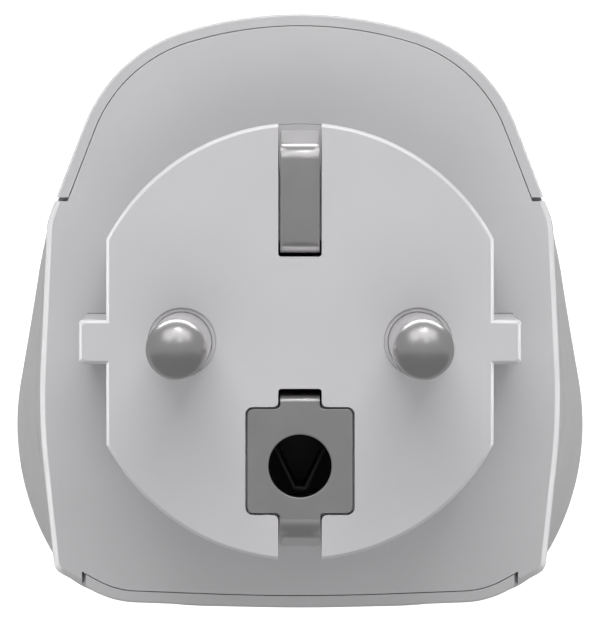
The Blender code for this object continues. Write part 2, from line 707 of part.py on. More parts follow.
# Main board with holes for the inserted pins' tips, strap slots and link notches
board_inset = COVER_WALL + BOARD_MARGIN
main_board = prism("main_board", rounded(REAR_CORNERS, board_inset), BOARD_Y, BOARD_END_Y, "Y", "circuit_board")
link_half = LINK_WIDTH / 2 + FIT_GAP
cut(main_board, box("notch_high", (-link_half, link_half), (BOARD_Y - 1, BOARD_END_Y + 1),
                    (LINK_TOP - LINK_THICKNESS - FIT_GAP, 40)))
cut(main_board, box("notch_low", (-link_half, link_half), (BOARD_Y - 1, BOARD_END_Y + 1),
                    (-40, LINK_BOTTOM + LINK_THICKNESS + FIT_GAP)))
for side in (-1, 1):
    at = (side * PIN_X, OUTLET_Z)
    cut(main_board, rod(f"tip_hole_{side + 1}", BOARD_TIP_HOLE / 2, BOARD_Y - 1, BOARD_END_Y + 1, at, sides=24))
    half = STRAP_WIDTH / 2 + SEAM_GAP
    cut(main_board, box(f"strap_slot_{side + 1}", (at[0] - half, at[0] + half), (BOARD_Y - 1, BOARD_END_Y + 1),
                        (STRAP_TOP - STRAP_THICKNESS - SEAM_GAP, STRAP_TOP + SEAM_GAP)))

# Parts on the main board
relay_x = RELAY_SIZE[0] / 2
relay = box("relay", (-relay_x, relay_x), (PARTS_Y, PARTS_Y + RELAY_SIZE[1]),
            (RELAY_BOTTOM, RELAY_BOTTOM + RELAY_SIZE[2]), "relay_case")
round_edges(relay, 0.5, 2)
film_x = FILM_SIZE[0] / 2
film = box("film_capacitor", (-film_x, film_x), (PARTS_Y, PARTS_Y + FILM_SIZE[1]),
           (FILM_TOP - FILM_SIZE[2], FILM_TOP), "film_case")
round_edges(film, 0.5, 2)
turned("electrolytic_capacitor", [(0, PARTS_Y), (2.9, PARTS_Y), (3.1, PARTS_Y + 0.3), (3.1, PARTS_Y + 1.1),
                                  (2.9, PARTS_Y + 1.4), (3.1, PARTS_Y + 1.7), (3.1, PARTS_Y + 8.9),
                                  (2.8, PARTS_Y + 9.2), (0, PARTS_Y + 9.2)], (13.4, 11.2), 24, "dark_part")
varistor = rod("varistor", 3.5, -15.2, -11.6, (PARTS_Y + 4.6, 11.2), "X", 28, "ceramic_coat")
round_edges(varistor, 0.5, 2)
fuse(varistor, box("varistor_leads", (-14.0, -12.8), (PARTS_Y, PARTS_Y + 4.0), (10.7, 11.7)))
turned("inductor", [(0, PARTS_Y), (2.9, PARTS_Y), (2.9, PARTS_Y + 1.0), (2.3, PARTS_Y + 1.2),
                    (2.3, PARTS_Y + 6.4), (2.9, PARTS_Y + 6.6), (2.9, PARTS_Y + 7.6), (0, PARTS_Y + 7.6)],
       (-13.4, -11.4), 24, "dark_part")
fuse_body = rod("fuse_resistor", 1.6, -15.6, -8.2, (13.4, PARTS_Y + 2.4), "Z", 20, "ceramic_coat")
round_edges(fuse_body, 0.35, 2)
fuse(fuse_body, box("fuse_leads", (13.1, 13.7), (PARTS_Y, PARTS_Y + 2.2), (-15.0, -14.4)),
     box("fuse_leads_top", (13.1, 13.7), (PARTS_Y, PARTS_Y + 2.2), (-9.4, -8.8)))
shunt_path = [(-4.6, PARTS_Y, 0), (-4.6, PARTS_Y + 2.4, 0.6), (4.6, PARTS_Y + 2.4, 0.6), (4.6, PARTS_Y, 0)]
prism("current_shunt", ribbon(shunt_path, 0.8, 3), 3.6, 6.2, "Z", "brass_sheet")
chip = box("metering_chip", (-2.5, 2.5), (PARTS_Y, PARTS_Y + 1.5), (CHIP_Z, CHIP_Z + CHIP_HEIGHT),
           "dark_part")
round_edges(chip, 0.15, 1)

# Spring contacts that grip the pins of a plug in the outlet
for name, side in (("socket_contact_left", -1), ("socket_contact_right", 1)):
    x = side * PIN_X
    half = (CONTACT_INNER + CONTACT_THICKNESS) / 2
    path = [(x - half, OUTLET_Z + 3.2, 0), (x - half, OUTLET_Z - 3.2, 0.8), (x + half, OUTLET_Z - 3.2, 0.8),
            (x + half, OUTLET_Z + 3.2, 0)]
    contact = prism(name, ribbon(path, CONTACT_THICKNESS, 4), CONTACT_END_Y - CONTACT_LENGTH + 0.6, CONTACT_END_Y,
                    "Y", "brass_sheet")
    fuse(contact, box(f"contact_leg_{side + 1}", (x - 1.0, x + 1.0),
                      (PARTS_Y, CONTACT_END_Y - CONTACT_LENGTH + 2.0),
                      (OUTLET_Z - 3.6, OUTLET_Z - 2.9)))

# Outlet cup: wall, floor with pin holes, guide ribs, shutter post and screw lugs
outlet_cup = rod("outlet_cup", outlet_outer, FLOOR_Y, FRONT_Y, (0, OUTLET_Z), sides=64, material="outlet_plastic")
cut(outlet_cup, rod("outlet_recess", OUTLET_RADIUS, SEAT_Y, FRONT_Y + 2, (0, OUTLET_Z), sides=64))
for side in (-1, 1):
    for row in (-1, 1):
        x = sorted((side * (OUTLET_RADIUS - RIB_REACH), side * (OUTLET_RADIUS + OUTLET_WALL)))
        z = sorted((OUTLET_Z + row * RIB_SLOT / 2, OUTLET_Z + row * (RIB_SLOT / 2 + RIB_HEIGHT)))
        rib = box(f"guide_rib_{side + 1}_{row + 1}", x, (SEAT_Y - 0.5, FRONT_Y - 1.2), z)
        combine(rib, rod(f"rib_limit_{side + 1}_{row + 1}", OUTLET_RADIUS + OUTLET_WALL / 2, FLOOR_Y, FRONT_Y,
                         (0, OUTLET_Z), sides=64), "INTERSECT")
        fuse(outlet_cup, rib)
    lug = rod(f"screw_lug_{side + 1}", CUP_SCREW_HEAD / 2 + 0.4, FLOOR_Y + 1.8, FLOOR_Y + 3.3,
              (side * CUP_SCREW_X, CUP_SCREW_Z), sides=20)
    arm = math.atan2(CUP_SCREW_Z - OUTLET_Z, side * CUP_SCREW_X)
    inner = (math.cos(arm) * (outlet_outer - 0.6), OUTLET_Z + math.sin(arm) * (outlet_outer - 0.6))
    across = (-math.sin(arm) * 2.0, math.cos(arm) * 2.0)
    tip = (side * CUP_SCREW_X, CUP_SCREW_Z)
    bridge = [(inner[0] + across[0], inner[1] + across[1]), (inner[0] - across[0], inner[1] - across[1]),
              (tip[0] - across[0], tip[1] - across[1]), (tip[0] + across[0], tip[1] + across[1])]
    fuse(outlet_cup, prism(f"lug_bridge_{side + 1}", bridge, FLOOR_Y + 1.8, FLOOR_Y + 3.3), lug)
    cut(outlet_cup, rod(f"lug_bore_{side + 1}", CUP_SCREW_SHANK / 2 + RUN_GAP, FLOOR_Y, FLOOR_Y + 5,
                        (side * CUP_SCREW_X, CUP_SCREW_Z), sides=16))
    cut(outlet_cup, rod(f"outlet_hole_{side + 1}", OUTLET_HOLE / 2, FLOOR_Y - 1, SEAT_Y + 1,
                        (side * PIN_X, OUTLET_Z), sides=32))
post_end = RETAINER_END_Y - RETAINER_THICKNESS - 0.4
fuse(outlet_cup, rod("shutter_post", POST_DIAMETER / 2, post_end, FLOOR_Y + 0.6, (0, OUTLET_Z), sides=32))
slot_half = OUTLET_CLIP_WIDTH / 2 + FIT_GAP
for row in (-1, 1):
    z = sorted((OUTLET_Z + row * (OUTLET_CLIP_ROOT - 0.8), OUTLET_Z + row * (OUTLET_CLIP_ROOT + 0.6)))
    cut(outlet_cup, box(f"clip_slot_{row + 1}", (-slot_half, slot_half), (FLOOR_Y - 1, SEAT_Y + 0.5), z))

# Sprung earth clips of the outlet
clip_foot = FLOOR_Y - 0.9
for name, row in (("outlet_earth_clip_top", 1), ("outlet_earth_clip_bottom", -1)):
    foot = LINK_TOP - LINK_THICKNESS - WELD_GAP if row > 0 else -LINK_BOTTOM + WELD_GAP + 0.3
    path = [(SEAT_Y + 14.0, OUTLET_CLIP_ROOT - 1.2, 0), (SEAT_Y + 9.5, OUTLET_CLIP_CREST + 0.3, 3.0),
            (SEAT_Y + 3.2, OUTLET_CLIP_ROOT, 2.5)]
    if row > 0:
        path += [(clip_foot, OUTLET_CLIP_ROOT, 0.5), (clip_foot, foot - OUTLET_Z, 0)]
    else:
        path += [(clip_foot - 3.0, OUTLET_CLIP_ROOT, 0)]
    path = [(y, OUTLET_Z + row * z, r) for y, z, r in path]
    clip = prism(name, ribbon(path, OUTLET_CLIP_THICKNESS, 4), -OUTLET_CLIP_WIDTH / 2, OUTLET_CLIP_WIDTH / 2,
                 "X", "spring_steel")
    origin_at(clip, 0, FLOOR_Y, OUTLET_Z + row * OUTLET_CLIP_ROOT)

# Child shutter turning on the post, its push-on retainer and return spring
shutter = prism("shutter", stadium((0, OUTLET_Z), SHUTTER_REACH, SHUTTER_WIDTH / 2), SHUTTER_Y, SHUTTER_END_Y,
                "Y", "shutter_plastic")
fuse(shutter, rod("shutter_hub", SHUTTER_HUB / 2, SHUTTER_Y, SHUTTER_END_Y, (0, OUTLET_Z), sides=32))
cut(shutter, rod("shutter_bore", POST_DIAMETER / 2 + RUN_GAP, SHUTTER_Y - 1, SHUTTER_END_Y + 1,
                 (0, OUTLET_Z), sides=32))
origin_at(shutter, 0, SHUTTER_Y, OUTLET_Z)
retainer = rod("shutter_retainer", RETAINER_DIAMETER / 2, RETAINER_END_Y - RETAINER_THICKNESS, RETAINER_END_Y,
               (0, OUTLET_Z), sides=32, material="spring_steel")
cut(retainer, rod("retainer_bore", POST_DIAMETER / 2 + RUN_GAP, RETAINER_END_Y - 3, RETAINER_END_Y + 1,
                  (0, OUTLET_Z), sides=32))
spring_line = [(0.0, 6.4)] + arc((0, 0), SPRING_RADIUS, 75, -235, 26) + [(3.2, 5.4)]
spring_curve = bpy.data.curves.new("shutter_spring", "CURVE")
spring_curve.dimensions = "3D"
spring_curve.bevel_depth = SPRING_WIRE / 2 * MM
spring_curve.bevel_resolution = 1
spring_curve.use_fill_caps = True
wire = spring_curve.splines.new("POLY")
wire.points.add(len(spring_line) - 3)
for point, (x, z) in zip(wire.points, spring_line[1:-1]):
    point.co = (x * MM, SPRING_Y * MM, (z + OUTLET_Z) * MM, 1)
drawn = bpy.data.objects.new("shutter_spring_curve", spring_curve)
bpy.context.scene.collection.objects.link(drawn)
bpy.context.view_layer.update()
spring_mesh = bpy.data.meshes.new_from_object(drawn.evaluated_get(bpy.context.evaluated_depsgraph_get()))
bpy.data.objects.remove(drawn, do_unlink=True)
form = bmesh.new()
form.from_mesh(spring_mesh)
bmesh.ops.remove_doubles(form, verts=form.verts, dist=0.000001)
bmesh.ops.recalc_face_normals(form, faces=form.faces)
form.to_mesh(spring_mesh)
form.free()
place("shutter_spring", spring_mesh, "spring_steel")

# Screws that hold the cup to the housing
for name, side in (("cup_screw_left", -1), ("cup_screw_right", 1)):
    head = CUP_SCREW_HEAD / 2
    shank = CUP_SCREW_SHANK / 2
    base = FLOOR_Y + 1.8 - WELD_GAP
    profile = [(0, base - 1.3), (head - 0.5, base - 1.3), (head, base - 0.8), (head, base), (shank, base),
               (shank, base + 8.5), (0, base + 9.2)]
    turned(name, profile, (side * CUP_SCREW_X, CUP_SCREW_Z), 20, "spring_steel")

# Control board behind the button, its radio module, switch, light and link to the main board
control_end = CONTROL_Y + CONTROL_THICKNESS
box("control_board", (-CONTROL_HALF_WIDTH, CONTROL_HALF_WIDTH), (CONTROL_Y, control_end),
    (CONTROL_BOTTOM, CONTROL_TOP), "circuit_board")
module = box("radio_module", (-7.6, 7.6), (CONTROL_Y - 2.8, CONTROL_Y - WELD_GAP),
             (CONTROL_BOTTOM + 0.2, CONTROL_TOP - 0.2), "shield_can")
round_edges(module, 0.25, 2)
box("board_ribbon", (8.6, 10.4), (BOARD_END_Y + WELD_GAP, CONTROL_Y - WELD_GAP), (19.5, 20.3), "cable_jacket")
switch = box("button_switch", (-2.0, 2.0), (control_end + WELD_GAP, control_end + 2.0),
             (BUTTON_Z - 1.9, BUTTON_Z + 1.1), "dark_part")
round_edges(switch, 0.2, 1)
well_y = control_end + 0.7
cut(switch, rod("switch_well", PLUNGER_DIAMETER / 2 + RUN_GAP, well_y, control_end + 3, (0, BUTTON_Z), sides=20))
stem_y = WALL_IN_Y - 5.2
rod("switch_plunger", PLUNGER_DIAMETER / 2, well_y + BUTTON_TRAVEL + WELD_GAP, stem_y - WELD_GAP, (0, BUTTON_Z),
    sides=20, material="shutter_plastic")
led = box("status_led", (LIGHT_X - 0.8, LIGHT_X + 0.8), (control_end + WELD_GAP, control_end + 1.0),
          (LIGHT_Z - 0.7, LIGHT_Z + 0.7), "clear_plastic")
guide = rod("light_guide", LIGHT_DIAMETER / 2, control_end + 1.3, FRONT_Y + 0.15, (LIGHT_X, LIGHT_Z), sides=24,
            material="clear_plastic")
round_edges(guide, 0.15, 2)

# Push button: cap through the front wall, flange behind it and a stem to the switch
flange_y = WALL_IN_Y - FIT_GAP
cap = prism("push_button", stadium((0, BUTTON_Z), BUTTON_HALF_LENGTH, BUTTON_HALF_HEIGHT), flange_y - 0.6,
            FRONT_Y + BUTTON_PROUD, "Y", "button_plastic")
round_edges(cap, 0.35, 2)
fuse(cap, prism("button_flange", stadium((0, BUTTON_Z), BUTTON_HALF_LENGTH + BUTTON_FLANGE,
                                         BUTTON_HALF_HEIGHT + BUTTON_FLANGE), flange_y - 1.2, flange_y))
fuse(cap, rod("button_stem", 1.2, stem_y, flange_y - 0.6, (0, BUTTON_Z), sides=20))
origin_at(cap, 0, FRONT_Y, BUTTON_Z)
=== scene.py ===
# %% [markdown]
# # Plug-in power meter, seen from the plug side
# A plug-through meter: a pale grey moulded housing with a round earthed plug on one face and an outlet on the other.
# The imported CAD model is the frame. Each piece that can be seen is drawn again here with finer curves, rounded
# edges and its own finish, in millimetres, at the place and size its CAD node has.

# %% Load the frame
import math

import bmesh
import bpy
from mathutils import Matrix, Vector


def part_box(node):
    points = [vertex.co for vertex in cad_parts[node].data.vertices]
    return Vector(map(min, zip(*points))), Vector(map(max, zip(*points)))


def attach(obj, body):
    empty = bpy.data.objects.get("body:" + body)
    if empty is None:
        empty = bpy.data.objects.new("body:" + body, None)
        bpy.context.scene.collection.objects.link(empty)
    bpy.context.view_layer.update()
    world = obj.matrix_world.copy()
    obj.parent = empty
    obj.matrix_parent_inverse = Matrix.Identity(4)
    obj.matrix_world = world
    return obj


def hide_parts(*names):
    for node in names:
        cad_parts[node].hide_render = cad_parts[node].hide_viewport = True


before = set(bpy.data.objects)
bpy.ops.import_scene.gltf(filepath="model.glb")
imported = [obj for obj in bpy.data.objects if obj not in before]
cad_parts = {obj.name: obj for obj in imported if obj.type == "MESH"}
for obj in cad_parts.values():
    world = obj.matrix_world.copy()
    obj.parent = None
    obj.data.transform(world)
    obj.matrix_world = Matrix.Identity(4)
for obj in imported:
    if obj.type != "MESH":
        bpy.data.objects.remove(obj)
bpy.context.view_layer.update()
MM = 0.001


def reach(node):
    """Lowest and highest corner of a CAD node in millimetres."""
    low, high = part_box(node)
    return [v / MM for v in low], [v / MM for v in high]


cover_low, cover_high = reach("rear_cover")
housing_high = reach("front_housing")[1]
plug_low = reach("plug_body")[0]
cup_high = reach("outlet_cup")[1]
REAR = cover_low[1]
SKIRT = cover_high[1]
HAIR_BACK = 0.001
FRONT = housing_high[1] - HAIR_BACK
PLUG_FACE = plug_low[1]
print("rear face at", round(REAR, 2), "front face at", round(FRONT, 2), "mm")

# %% [markdown]
# ## Drawing tools
# A moulded part is a few outlines joined by walls. `lay` puts down one outline, `carry` extrudes it to the next
# depth and takes up that depth's outline, and `fill` closes a flat end, leaving any inner outlines open.
# Extruding ring by ring keeps the walls in clean quads, so that a soft light runs along them without a break.

# %% Outlines and walls
def at(u, v, depth, axis):
    """A drawn point in space: the outline lies across the axis."""
    if axis == "X":
        return Vector((depth, u, v)) * MM
    if axis == "Z":
        return Vector((u, v, depth)) * MM
    return Vector((u, depth, v)) * MM


def lay(form, points, depth, closed=True, axis="Y"):
    chain = [form.verts.new(at(u, v, depth, axis)) for u, v in points]
    for i in range(0 if closed else 1, len(chain)):
        form.edges.new((chain[i - 1], chain[i]))
    return chain


def carry(form, chain, points, depth, closed=True, axis="Y"):
    edges = [form.edges.get((chain[i - 1], chain[i])) for i in range(0 if closed else 1, len(chain))]
    made = bmesh.ops.extrude_edge_only(form, edges=edges)["geom"]
    fresh = {part for part in made if isinstance(part, bmesh.types.BMVert)}
    moved = []
    for old, (u, v) in zip(chain, points):
        new = next(e.other_vert(old) for e in old.link_edges if e.other_vert(old) in fresh)
        new.co = at(u, v, depth, axis)
        moved.append(new)
    return moved


def fill(form, *chains):
    edges = []
    for chain in chains:
        edges += [form.edges.get((chain[i - 1], chain[i])) for i in range(len(chain))]
    bmesh.ops.triangle_fill(form, edges=edges, use_beauty=True)


def join(form, part):
    """Adds a closed shape of its own to the piece, its faces pointing outwards."""
    bmesh.ops.remove_doubles(part, verts=part.verts, dist=1e-7)
    bmesh.ops.recalc_face_normals(part, faces=part.faces)
    mesh = bpy.data.meshes.new("part")
    part.to_mesh(mesh)
    part.free()
    form.from_mesh(mesh)
    bpy.data.meshes.remove(mesh)


def slab(whole_form, *walls, axis="Y"):
    """Solid between two flat ends; each wall is a list of (depth, outline) rows."""
    form = bmesh.new()
    first, last = [], []
    for rows in walls:
        chain = lay(form, rows[0][1], rows[0][0], axis=axis)
        first.append(chain)
        for depth, points in rows[1:]:
            chain = carry(form, chain, points, depth, axis=axis)
        last.append(chain)
    fill(form, *first)
    fill(form, *last)
    join(whole_form, form)


def arc(u, v, radius, start, end, steps):
    """Points on an arc, angles in degrees."""
    turn = [math.radians(start + (end - start) * i / steps) for i in range(steps + 1)]
    return [(u + radius * math.cos(t), v + radius * math.sin(t)) for t in turn]


def circle(u, v, radius, steps=96):
    return arc(u, v, radius, 0, 360, steps)[:-1]


def fillet(before, corner, after, radius, steps):
    """Arc that rounds one corner of a path."""
    here = Vector(corner)
    back = (Vector(before) - here).normalized()
    ahead = (Vector(after) - here).normalized()
    half = back.angle(ahead) / 2
    centre = here + (back + ahead).normalized() * (radius / math.sin(half))
    first = here + back * (radius / math.tan(half)) - centre
    turn = math.pi - 2 * half
    if back.x * ahead.y - back.y * ahead.x > 0:
        turn = -turn
    points = []
    for i in range(steps + 1):
        c, s = math.cos(turn * i / steps), math.sin(turn * i / steps)
        points.append((centre.x + first.x * c - first.y * s, centre.y + first.x * s + first.y * c))
    return points


def stadium(u, v, half_length, half_height, steps=20):
    run = half_length - half_height
    return (arc(u + run, v, half_height, -90, 90, steps)
            + arc(u - run, v, half_height, 90, 270, steps))


def bent_strip(path, thickness, steps=12):
    """Closed side outline of a bent metal strip; the path holds u, v and the bend radius."""
    line = [path[0][:2]]
    for before, here, after in zip(path, path[1:], path[2:]):
        line += fillet(before[:2], here[:2], after[:2], here[2], steps)
    line.append(path[-1][:2])
    left, right = [], []
    for i, point in enumerate(line):
        here = Vector(point)
        into = (here - Vector(line[i - 1])).normalized() if i else None
        out = (Vector(line[i + 1]) - here).normalized() if i + 1 < len(line) else into
        into = into or out
        along = (into + out).normalized()
        side = Vector((-along.y, along.x)) * (thickness / 2 / max(0.3, along.dot(out)))
        left.append(tuple(here + side))
        right.append(tuple(here - side))
    return left + right[::-1]


def chamfer(width, start):
    """Depth and inset of each row of a 45 degree edge with slightly softened corners."""
    rows = [(start, width + 0.10), (start, width + 0.03), (start + 0.012, width - 0.01)]
    rows += [(start + 0.04, width - 0.045)]
    rows += [(start + width * 0.5, width * 0.5), (start + width - 0.05, 0.045), (start + width, 0.012)]
    return rows + [(start + width + 0.05, 0.0)]


def ease(form, offset, segments=2, angle=40):
    """Rounds the sharp edges a little, as a press tool or a mould leaves them."""
    bmesh.ops.remove_doubles(form, verts=form.verts, dist=1e-7)
    bmesh.ops.dissolve_limit(form, angle_limit=0.008, verts=form.verts, edges=form.edges)
    form.normal_update()
    edges = [e for e in form.edges if len(e.link_faces) == 2 and e.calc_face_angle(0) > math.radians(angle)]
    bmesh.ops.bevel(form, geom=edges, offset=offset * MM, offset_type="OFFSET", segments=segments,
                    profile=0.5, affect="EDGES", material=-1, clamp_overlap=True)


PIECES = {}


def finished(name, form, finish, body, nodes, smooth=32, weld=False):
    """Welds the mesh and points its faces outwards when asked, counts its open edges and hands it to the frame."""
    if weld:
        bmesh.ops.remove_doubles(form, verts=form.verts, dist=1e-7)
        bmesh.ops.dissolve_degenerate(form, edges=form.edges, dist=1e-7)
        bmesh.ops.recalc_face_normals(form, faces=form.faces)
    mesh = bpy.data.meshes.new(name)
    form.to_mesh(mesh)
    open_edges = sum(len(e.link_faces) != 2 for e in form.edges)
    form.free()
    mesh.shade_smooth()
    mesh.set_sharp_from_angle(angle=math.radians(smooth))
    piece = bpy.data.objects.new(name, mesh)
    bpy.context.scene.collection.objects.link(piece)
    piece.data.materials.append(FINISHES[finish])
    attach(piece, body)
    if nodes:
        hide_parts(*nodes)
    PIECES[name] = piece
    print(name, len(mesh.polygons), "faces,", open_edges, "open edges")
    return piece


# %% [markdown]
# ## Finishes
# Every finish is a small node recipe in object space. Spark-eroded plastic has a very fine matt grain, a slight
# drift in tone and edges a touch paler, partly where they have rubbed and partly as a painted highlight on the
# rounded edges. Plated sheet has rolling marks along the strip and a few duller patches. Scales are real: the
# plastic grain is about a fifth of a millimetre.

# %% Finish recipes
FINISHES = {}


def recipe(name, metallic=0.0):
    material = bpy.data.materials.new(name)
    material.use_nodes = True
    tree = material.node_tree
    shader = tree.nodes["Principled BSDF"]
    shader.inputs["Metallic"].default_value = metallic
    shader.inputs["Specular IOR Level"].default_value = 0.6
    FINISHES[name] = material
    place = tree.nodes.new("ShaderNodeTexCoord").outputs["Object"]
    return tree, shader, place


def noise(tree, place, size, detail=2.0, stretch=None, rough=0.5):
    """Soft noise with features of the given size in millimetres."""
    if stretch:
        mapping = tree.nodes.new("ShaderNodeMapping")
        mapping.inputs["Scale"].default_value = stretch
        tree.links.new(place, mapping.inputs["Vector"])
        place = mapping.outputs["Vector"]
    node = tree.nodes.new("ShaderNodeTexNoise")
    node.inputs["Scale"].default_value = 1000.0 / size
    node.inputs["Detail"].default_value = detail
    node.inputs["Roughness"].default_value = rough
    tree.links.new(place, node.inputs["Vector"])
    return node.outputs["Fac"]


def spread(tree, value, low, high, start=0.3, end=0.7):
    node = tree.nodes.new("ShaderNodeMapRange")
    node.inputs["From Min"].default_value = start
    node.inputs["From Max"].default_value = end
    node.inputs["To Min"].default_value = low
    node.inputs["To Max"].default_value = high
    tree.links.new(value, node.inputs["Value"])
    return node.outputs["Result"]


def tint(tree, value, dark, light):
    node = tree.nodes.new("ShaderNodeMix")
    node.data_type = "RGBA"
    node.inputs["A"].default_value = (*dark, 1.0)
    node.inputs["B"].default_value = (*light, 1.0)
    tree.links.new(value, node.inputs["Factor"])
    return node.outputs["Result"]


def wear_and_highlight_edges(tree, colour, light, amount):
    """Paler tone on the outermost edges: partly rubbing wear, partly a painted highlight on the rounded edges."""
    rounded = tree.nodes.new("ShaderNodeBevel")
    rounded.samples = 4
    rounded.inputs["Radius"].default_value = 0.12 * MM
    compare = tree.nodes.new("ShaderNodeVectorMath")
    compare.operation = "DOT_PRODUCT"
    tree.links.new(rounded.outputs["Normal"], compare.inputs[0])
    tree.links.new(tree.nodes.new("ShaderNodeNewGeometry").outputs["Normal"], compare.inputs[1])
    edge = compare.outputs["Value"]
    node = tree.nodes.new("ShaderNodeMix")
    node.data_type = "RGBA"
    node.inputs["B"].default_value = (*light, 1.0)
    tree.links.new(colour, node.inputs["A"])
    tree.links.new(spread(tree, edge, amount, 0.0, 0.80, 0.97), node.inputs["Factor"])
    return node.outputs["Result"]


def bumped(tree, shader, height, distance, strength):
    node = tree.nodes.new("ShaderNodeBump")
    node.inputs["Strength"].default_value = strength
    node.inputs["Distance"].default_value = distance * MM
    tree.links.new(height, node.inputs["Height"])
    tree.links.new(node.outputs["Normal"], shader.inputs["Normal"])


def plastic(name, colour, rough, grain=0.2, depth=0.012, strength=0.35, edge_wear_and_highlight=0.25, drift=0.02):
    tree, shader, place = recipe(name)
    dark = [c * (1 - drift) for c in colour]
    light = [min(1.0, c * (1 + drift)) for c in colour]
    tone = tint(tree, spread(tree, noise(tree, place, 9.0, 4.0), 0.0, 1.0), dark, light)
    # Paler edges: partly wear, partly a painted highlight on the rounded edges.
    pale = [min(1.0, c * 1.12) for c in colour]
    tree.links.new(wear_and_highlight_edges(tree, tone, pale, edge_wear_and_highlight), shader.inputs["Base Color"])
    tree.links.new(spread(tree, noise(tree, place, 2.5, 3.0), rough - 0.04, rough + 0.04),
                   shader.inputs["Roughness"])
    bumped(tree, shader, noise(tree, place, grain, 3.0), depth, strength)
    return shader


def sheet_metal(name, colour, rough, along, depth=0.002, strength=0.04):
    tree, shader, place = recipe(name, 1.0)
    dark = [c * 0.93 for c in colour]
    tone = tint(tree, spread(tree, noise(tree, place, 3.0, 4.0), 0.0, 1.0), dark, colour)
    tree.links.new(tone, shader.inputs["Base Color"])
    lines = noise(tree, place, 0.12, 3.0, along)
    tree.links.new(spread(tree, lines, rough - 0.02, rough + 0.03), shader.inputs["Roughness"])
    bumped(tree, shader, lines, depth, strength)
    return shader


SHELL = (0.585, 0.580, 0.592)
plastic("shell_plastic", SHELL, 0.46)
# The plug's plastic is paler than the shell's; the extra paleness is painted light for the brighter lit plug face.
plastic("plug_plastic", (0.660, 0.652, 0.670), 0.42)
plastic("outlet_plastic", (0.60, 0.595, 0.605), 0.42)
plastic("button_plastic", (0.50, 0.495, 0.505), 0.38, grain=0.3)
plastic("shutter_plastic", (0.74, 0.74, 0.73), 0.45)
plastic("relay_case", (0.03, 0.08, 0.22), 0.45, drift=0.06)
plastic("film_case", (0.66, 0.50, 0.10), 0.45, drift=0.05)
plastic("dark_part", (0.03, 0.03, 0.032), 0.50, drift=0.1)
plastic("ceramic_coat", (0.05, 0.15, 0.40), 0.40, drift=0.06)
plastic("circuit_board", (0.045, 0.20, 0.09), 0.48, grain=0.5, drift=0.12)
plastic("cable_jacket", (0.74, 0.74, 0.71), 0.55, drift=0.04)
clear = plastic("clear_plastic", (0.82, 0.87, 0.90), 0.16, depth=0.004, strength=0.1)
clear.inputs["Transmission Weight"].default_value = 0.85
clear.inputs["IOR"].default_value = 1.49
sheet_metal("nickel_plate", (0.80, 0.785, 0.79), 0.30, (1.0, 0.25, 1.0))
# Near-black metal: painted shade for the inside of the earth hole.
sheet_metal("dark_nickel", (0.05, 0.05, 0.05), 0.40, (1.0, 0.25, 1.0))
sheet_metal("spring_steel", (0.52, 0.52, 0.52), 0.32, (1.0, 0.2, 1.0))
sheet_metal("brass_sheet", (0.74, 0.56, 0.28), 0.33, (1.0, 0.2, 1.0))
sheet_metal("shield_can", (0.60, 0.60, 0.60), 0.34, (0.2, 1.0, 1.0))
print(len(FINISHES), "finishes")

# %% [markdown]
# ## The housing outline
# The rear outline is a rounded shape, narrow at the top and nearly flat at the foot. It swells into a
# larger front outline over the first 25 mm. Both are corners with radii; the fine outline is cut into a top run,
# a side run and a bottom run, because the lips of the front half wrap the top and bottom only.

# %% Sections of the housing
REAR_CORNERS = ((0, 28.3, 33), (15.75, 23.6, 13.2), (21.2, 9.5, 4), (21.95, -6.9, 55), (20.6, -19.75, 1),
                (15.75, -22.4, 8.1), (0, -23, 200))
FRONT_CORNERS = ((0, 27.5, 33), (15.4, 23.6, 13.6), (22.75, 6.6, 20), (26.15, -13.1, 22.4), (19.9, -23.5, 7),
                 (9.5, -24.75, 50), (0, -24.9, 200))
CORNER_STEPS = (96, 84, 36, 48, 60, 48, 36)
BULGE_DEPTH, EDGE, FRONT_EDGE = 25.0, 0.45, 1.8
HAIR = 0.005
LIP, LIP_GAP, SLIT, LIP_EDGE = 1.0, 0.06, 0.33, 0.14
LIP_TOP_END, LIP_BOTTOM_END = 11.2, 18.3
CACHE = {}


def inset_corners(corners, inset):
    moved = []
    for i in range(len(corners)):
        before, here, after = (Vector(corners[(i + k) % len(corners)][:2]) for k in (-1, 0, 1))
        into, out = (here - before).normalized(), (after - here).normalized()
        normal_in, normal_out = Vector((into.y, -into.x)), Vector((out.y, -out.x))
        middle = (normal_in + normal_out).normalized()
        shift = middle * (inset / middle.dot(normal_in))
        moved.append((here.x + shift.x, here.y + shift.y, max(0.5, corners[i][2] - inset)))
    return moved


def rounded_outline(half, inset):
    key = (half is REAR_CORNERS, round(inset, 5))
    if key not in CACHE:
        corners = inset_corners(list(half) + [(-x, z, r) for x, z, r in reversed(half[1:-1])], inset)
        steps = list(CORNER_STEPS) + list(CORNER_STEPS[-2:0:-1])
        points = []
        for i in range(len(corners)):
            before, here, after = (corners[(i + k) % len(corners)] for k in (-1, 0, 1))
            points += fillet(before[:2], here[:2], after[:2], here[2], steps[i])
        CACHE[key] = points
    return CACHE[key]


def section(y, inset):
    t = min(1.0, max(0.0, (y - REAR) / BULGE_DEPTH))
    mix = 0.5 * (t + t * t * (3 - 2 * t))
    inset += HAIR
    pairs = zip(rounded_outline(REAR_CORNERS, inset), rounded_outline(FRONT_CORNERS, inset))
    return [(a[0] + (b[0] - a[0]) * mix, a[1] + (b[1] - a[1]) * mix) for a, b in pairs]


